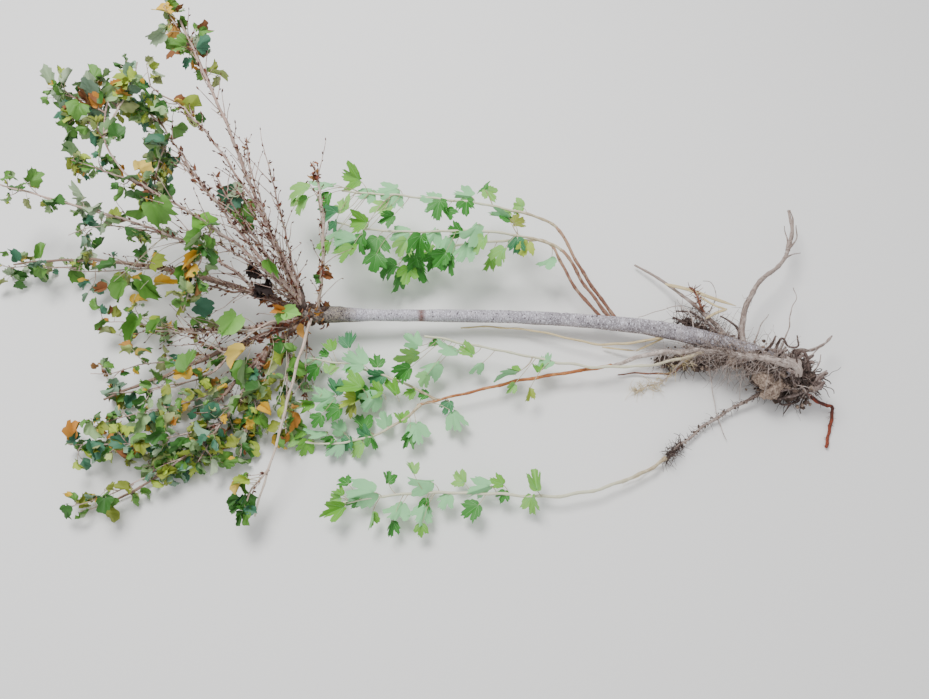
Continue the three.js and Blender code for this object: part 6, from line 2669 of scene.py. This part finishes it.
CROWN_LEAVES = {
    "bough_left": (
        SeenLeaf(272, 268, 0.034, 305, Tint.GREEN, rise=0.08, shut=True),
        SeenLeaf(204, 307, 0.034, 350, Tint.SEA, rise=0.01)),
    "bough_low": (
        SeenLeaf(231, 325, 0.044, 250, Tint.FRESH_PALE, rise=0.03),
        SeenLeaf(292, 314, 0.031, 350, Tint.FRESH_PALE, rise=0.05),
        SeenLeaf(281, 318, 0.022, 230, Tint.GREEN, rise=0.05),
        SeenLeaf(278, 309, 0.028, 160, Tint.ORANGE, rise=0.05, shut=True),
        SeenLeaf(303, 331, 0.023, 270, Tint.ORANGE, rise=0.02, shut=True),
        SeenLeaf(236, 357, 0.040, 225, Tint.YELLOW, rise=0.03, shut=True),
        SeenLeaf(243, 373, 0.040, 262, Tint.GREEN, rise=0.02, shut=True),
        SeenLeaf(280, 348, 0.024, 110, Tint.DEEP, rise=0.01),
        SeenLeaf(252, 392, 0.036, 205, Tint.DEEP, rise=0.01),
        SeenLeaf(266, 408, 0.030, 140, Tint.YELLOW, rise=0.01, shut=True)),
    "cane_left_low": (
        SeenLeaf(134, 329, 0.048, 262, Tint.GREEN, rise=0.03, shut=True),
        SeenLeaf(190, 362, 0.040, 75, Tint.GREEN, rise=0.03)),
    "cane_leafy": (
        SeenLeaf(158, 210, 0.042, 310, Tint.GREEN), SeenLeaf(195, 243, 0.038, 240, Tint.GREEN, shut=True),
        SeenLeaf(206, 224, 0.038, 62, Tint.FRESH, shut=True),
        SeenLeaf(192, 261, 0.036, 235, Tint.YELLOW, rise=-0.02, shut=True),
        SeenLeaf(182, 277, 0.036, 265, Tint.GREEN, rise=-0.03, shut=True)),
    "cane_upper": (
        SeenLeaf(230, 198, 0.040, 250, Tint.SEA), SeenLeaf(244, 212, 0.040, 285, Tint.GREEN),
        SeenLeaf(236, 190, 0.030, 80, Tint.FADED), SeenLeaf(246, 224, 0.026, 280, Tint.DEEP)),
    "cane_left_high": (
        SeenLeaf(121, 289, 0.042, 262, Tint.GREEN, rise=-0.03),
        SeenLeaf(147, 288, 0.046, 312, Tint.GREEN, rise=-0.03, shut=True),
        SeenLeaf(101, 289, 0.024, 200, Tint.RUST, rise=-0.03),
        SeenLeaf(139, 300, 0.026, 30, Tint.YELLOW, rise=-0.04),
        SeenLeaf(167, 284, 0.034, 10, Tint.YELLOW, rise=-0.03, shut=True)),
    "cane_top": (
        SeenLeaf(163, 10, 0.036, 150, Tint.YELLOW, rise=-0.015),
        SeenLeaf(156, 36, 0.026, 220, Tint.FADED, rise=-0.01),
        SeenLeaf(199, 42, 0.028, 300, Tint.FADED, rise=-0.01)),
    "cane_pale_tip": (
        SeenLeaf(125, 80, 0.036, 190, Tint.LIME, rise=0.01),
        SeenLeaf(116, 88, 0.022, 215, Tint.ORANGE, rise=0.01)),
    "cane_dry_right": (
        SeenLeaf(317, 278, 0.018, 190, Tint.DEEP), SeenLeaf(329, 276, 0.020, 345, Tint.RUST, shut=True)),
}
TUFT_LEAVES = (
    SeenLeaf(241, 482, 0.030, 200, Tint.LIME, rise=0.02),
    SeenLeaf(236, 487, 0.026, 230, Tint.YELLOW, rise=0.015),
    SeenLeaf(245, 477, 0.022, 120, Tint.GREEN, rise=0.01),
    SeenLeaf(244, 489, 0.020, 320, Tint.GREEN, rise=0.005), SeenLeaf(233, 500, 0.024, 195, Tint.DEEP),
    SeenLeaf(241, 501, 0.022, 250, Tint.SEA), SeenLeaf(248, 502, 0.026, 285, Tint.DEEP),
    SeenLeaf(236, 509, 0.024, 225, Tint.DEEP), SeenLeaf(245, 510, 0.026, 300, Tint.DEEP),
    SeenLeaf(251, 510, 0.022, 340, Tint.SEA), SeenLeaf(240, 518, 0.022, 250, Tint.DEEP),
    SeenLeaf(247, 519, 0.020, 290, Tint.GREEN))
WITHERED_LEAVES = (
    SeenLeaf(254, 275, 0.027, 255, Tint.WITHERED, rise=0.02),
    SeenLeaf(264, 290, 0.032, 225, Tint.WITHERED, rise=0.025),
    SeenLeaf(251, 267, 0.020, 120, Tint.WITHERED, rise=0.02),
    SeenLeaf(259, 297, 0.018, 300, Tint.WITHERED, rise=0.02))


def main() -> None:
    """Builds the plant from its stem outwards, then the studio."""
    logging.basicConfig(level=logging.INFO, format="%(message)s")
    PHOTO.build()
    stem = Stem()
    stem.build()
    plan = Plan(stem.path)
    limbs = LimbMaker(plan)
    for growth in (ROOT_CROWN, SOIL_CLOD) + ROOTS + SUCKERS + CANES:
        plan.grow(growth)
    for first, second in BENDS:
        plan.round_off(first, second)
    for limb in ROOTS + SUCKERS + CANES:
        limbs.build(limb)
    for route in ROOT_ROUTES + CANE_ROUTES:
        limbs.follow(route)
    rng = np.random.default_rng(SEED)
    RootKnot(plan, rng).build()
    twigs = Twigs(Skin.CANE, sides=5)
    stalks = Twigs(Skin.SUCKER, sides=3)
    plan.grow(LOW_MIDDLE)
    suckers = SeenFoliage(plan, rng, stalks, SUCKER_LEAF, "shoot_leaves")
    for (node, stem_name), seen in SUCKER_LEAVES.items():
        suckers.build(f"{node}_foliage", stem_name, seen, (node,))
    crown = SeenFoliage(plan, rng, stalks, BROAD_LEAF, "crown_leaves", ruffle=0.08, crumple=0.03,
                        fold=(0.4, 1.0))
    for name, seen in CROWN_LEAVES.items():
        crown.build(f"large_leaves_{name}", name, seen)
    tuft = SeenFoliage(plan, rng, stalks, CROWN_LEAF, "crown_leaves", ruffle=0.16, crumple=0.10,
                       fold=(0.5, 1.2))
    tuft.build("leaves_tuft_foliage", "cane_dry_tip", TUFT_LEAVES, ("leaves_tuft",))
    withered = SeenFoliage(plan, rng, stalks, BROAD_LEAF, "crown_leaves", ruffle=0.3, crumple=0.25,
                           fold=(0.3, 1.2))
    withered.build("withered_leaf", "bough_left", WITHERED_LEAVES)
    StrawBlades().build()
    GraftUnion(stem.path, rng).build()
    detail = CaneDetail(plan, rng, twigs)
    for name, start, end in CANE_DRESS:
        detail.dress(name, start, end)
    for name, start, end, count, room in FLAKES:
        detail.flake(name, start, end, count, room)
    detail.build()
    sprays = SprayMaker(plan, rng, twigs, stalks)
    for spray in SPRAYS:
        sprays.build(spray)
    for cover in COVERS:
        sprays.clothe(cover)
    twigs.build("crown_twigs")
    stalks.build("leaf_stalks")
    Studio().build()
    boxes = {"cad": cad_bounds, "visual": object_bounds()}
    {name: [list(corner) for corner in box] for name, box in boxes.items()}


if __name__ == "__main__":
    main()
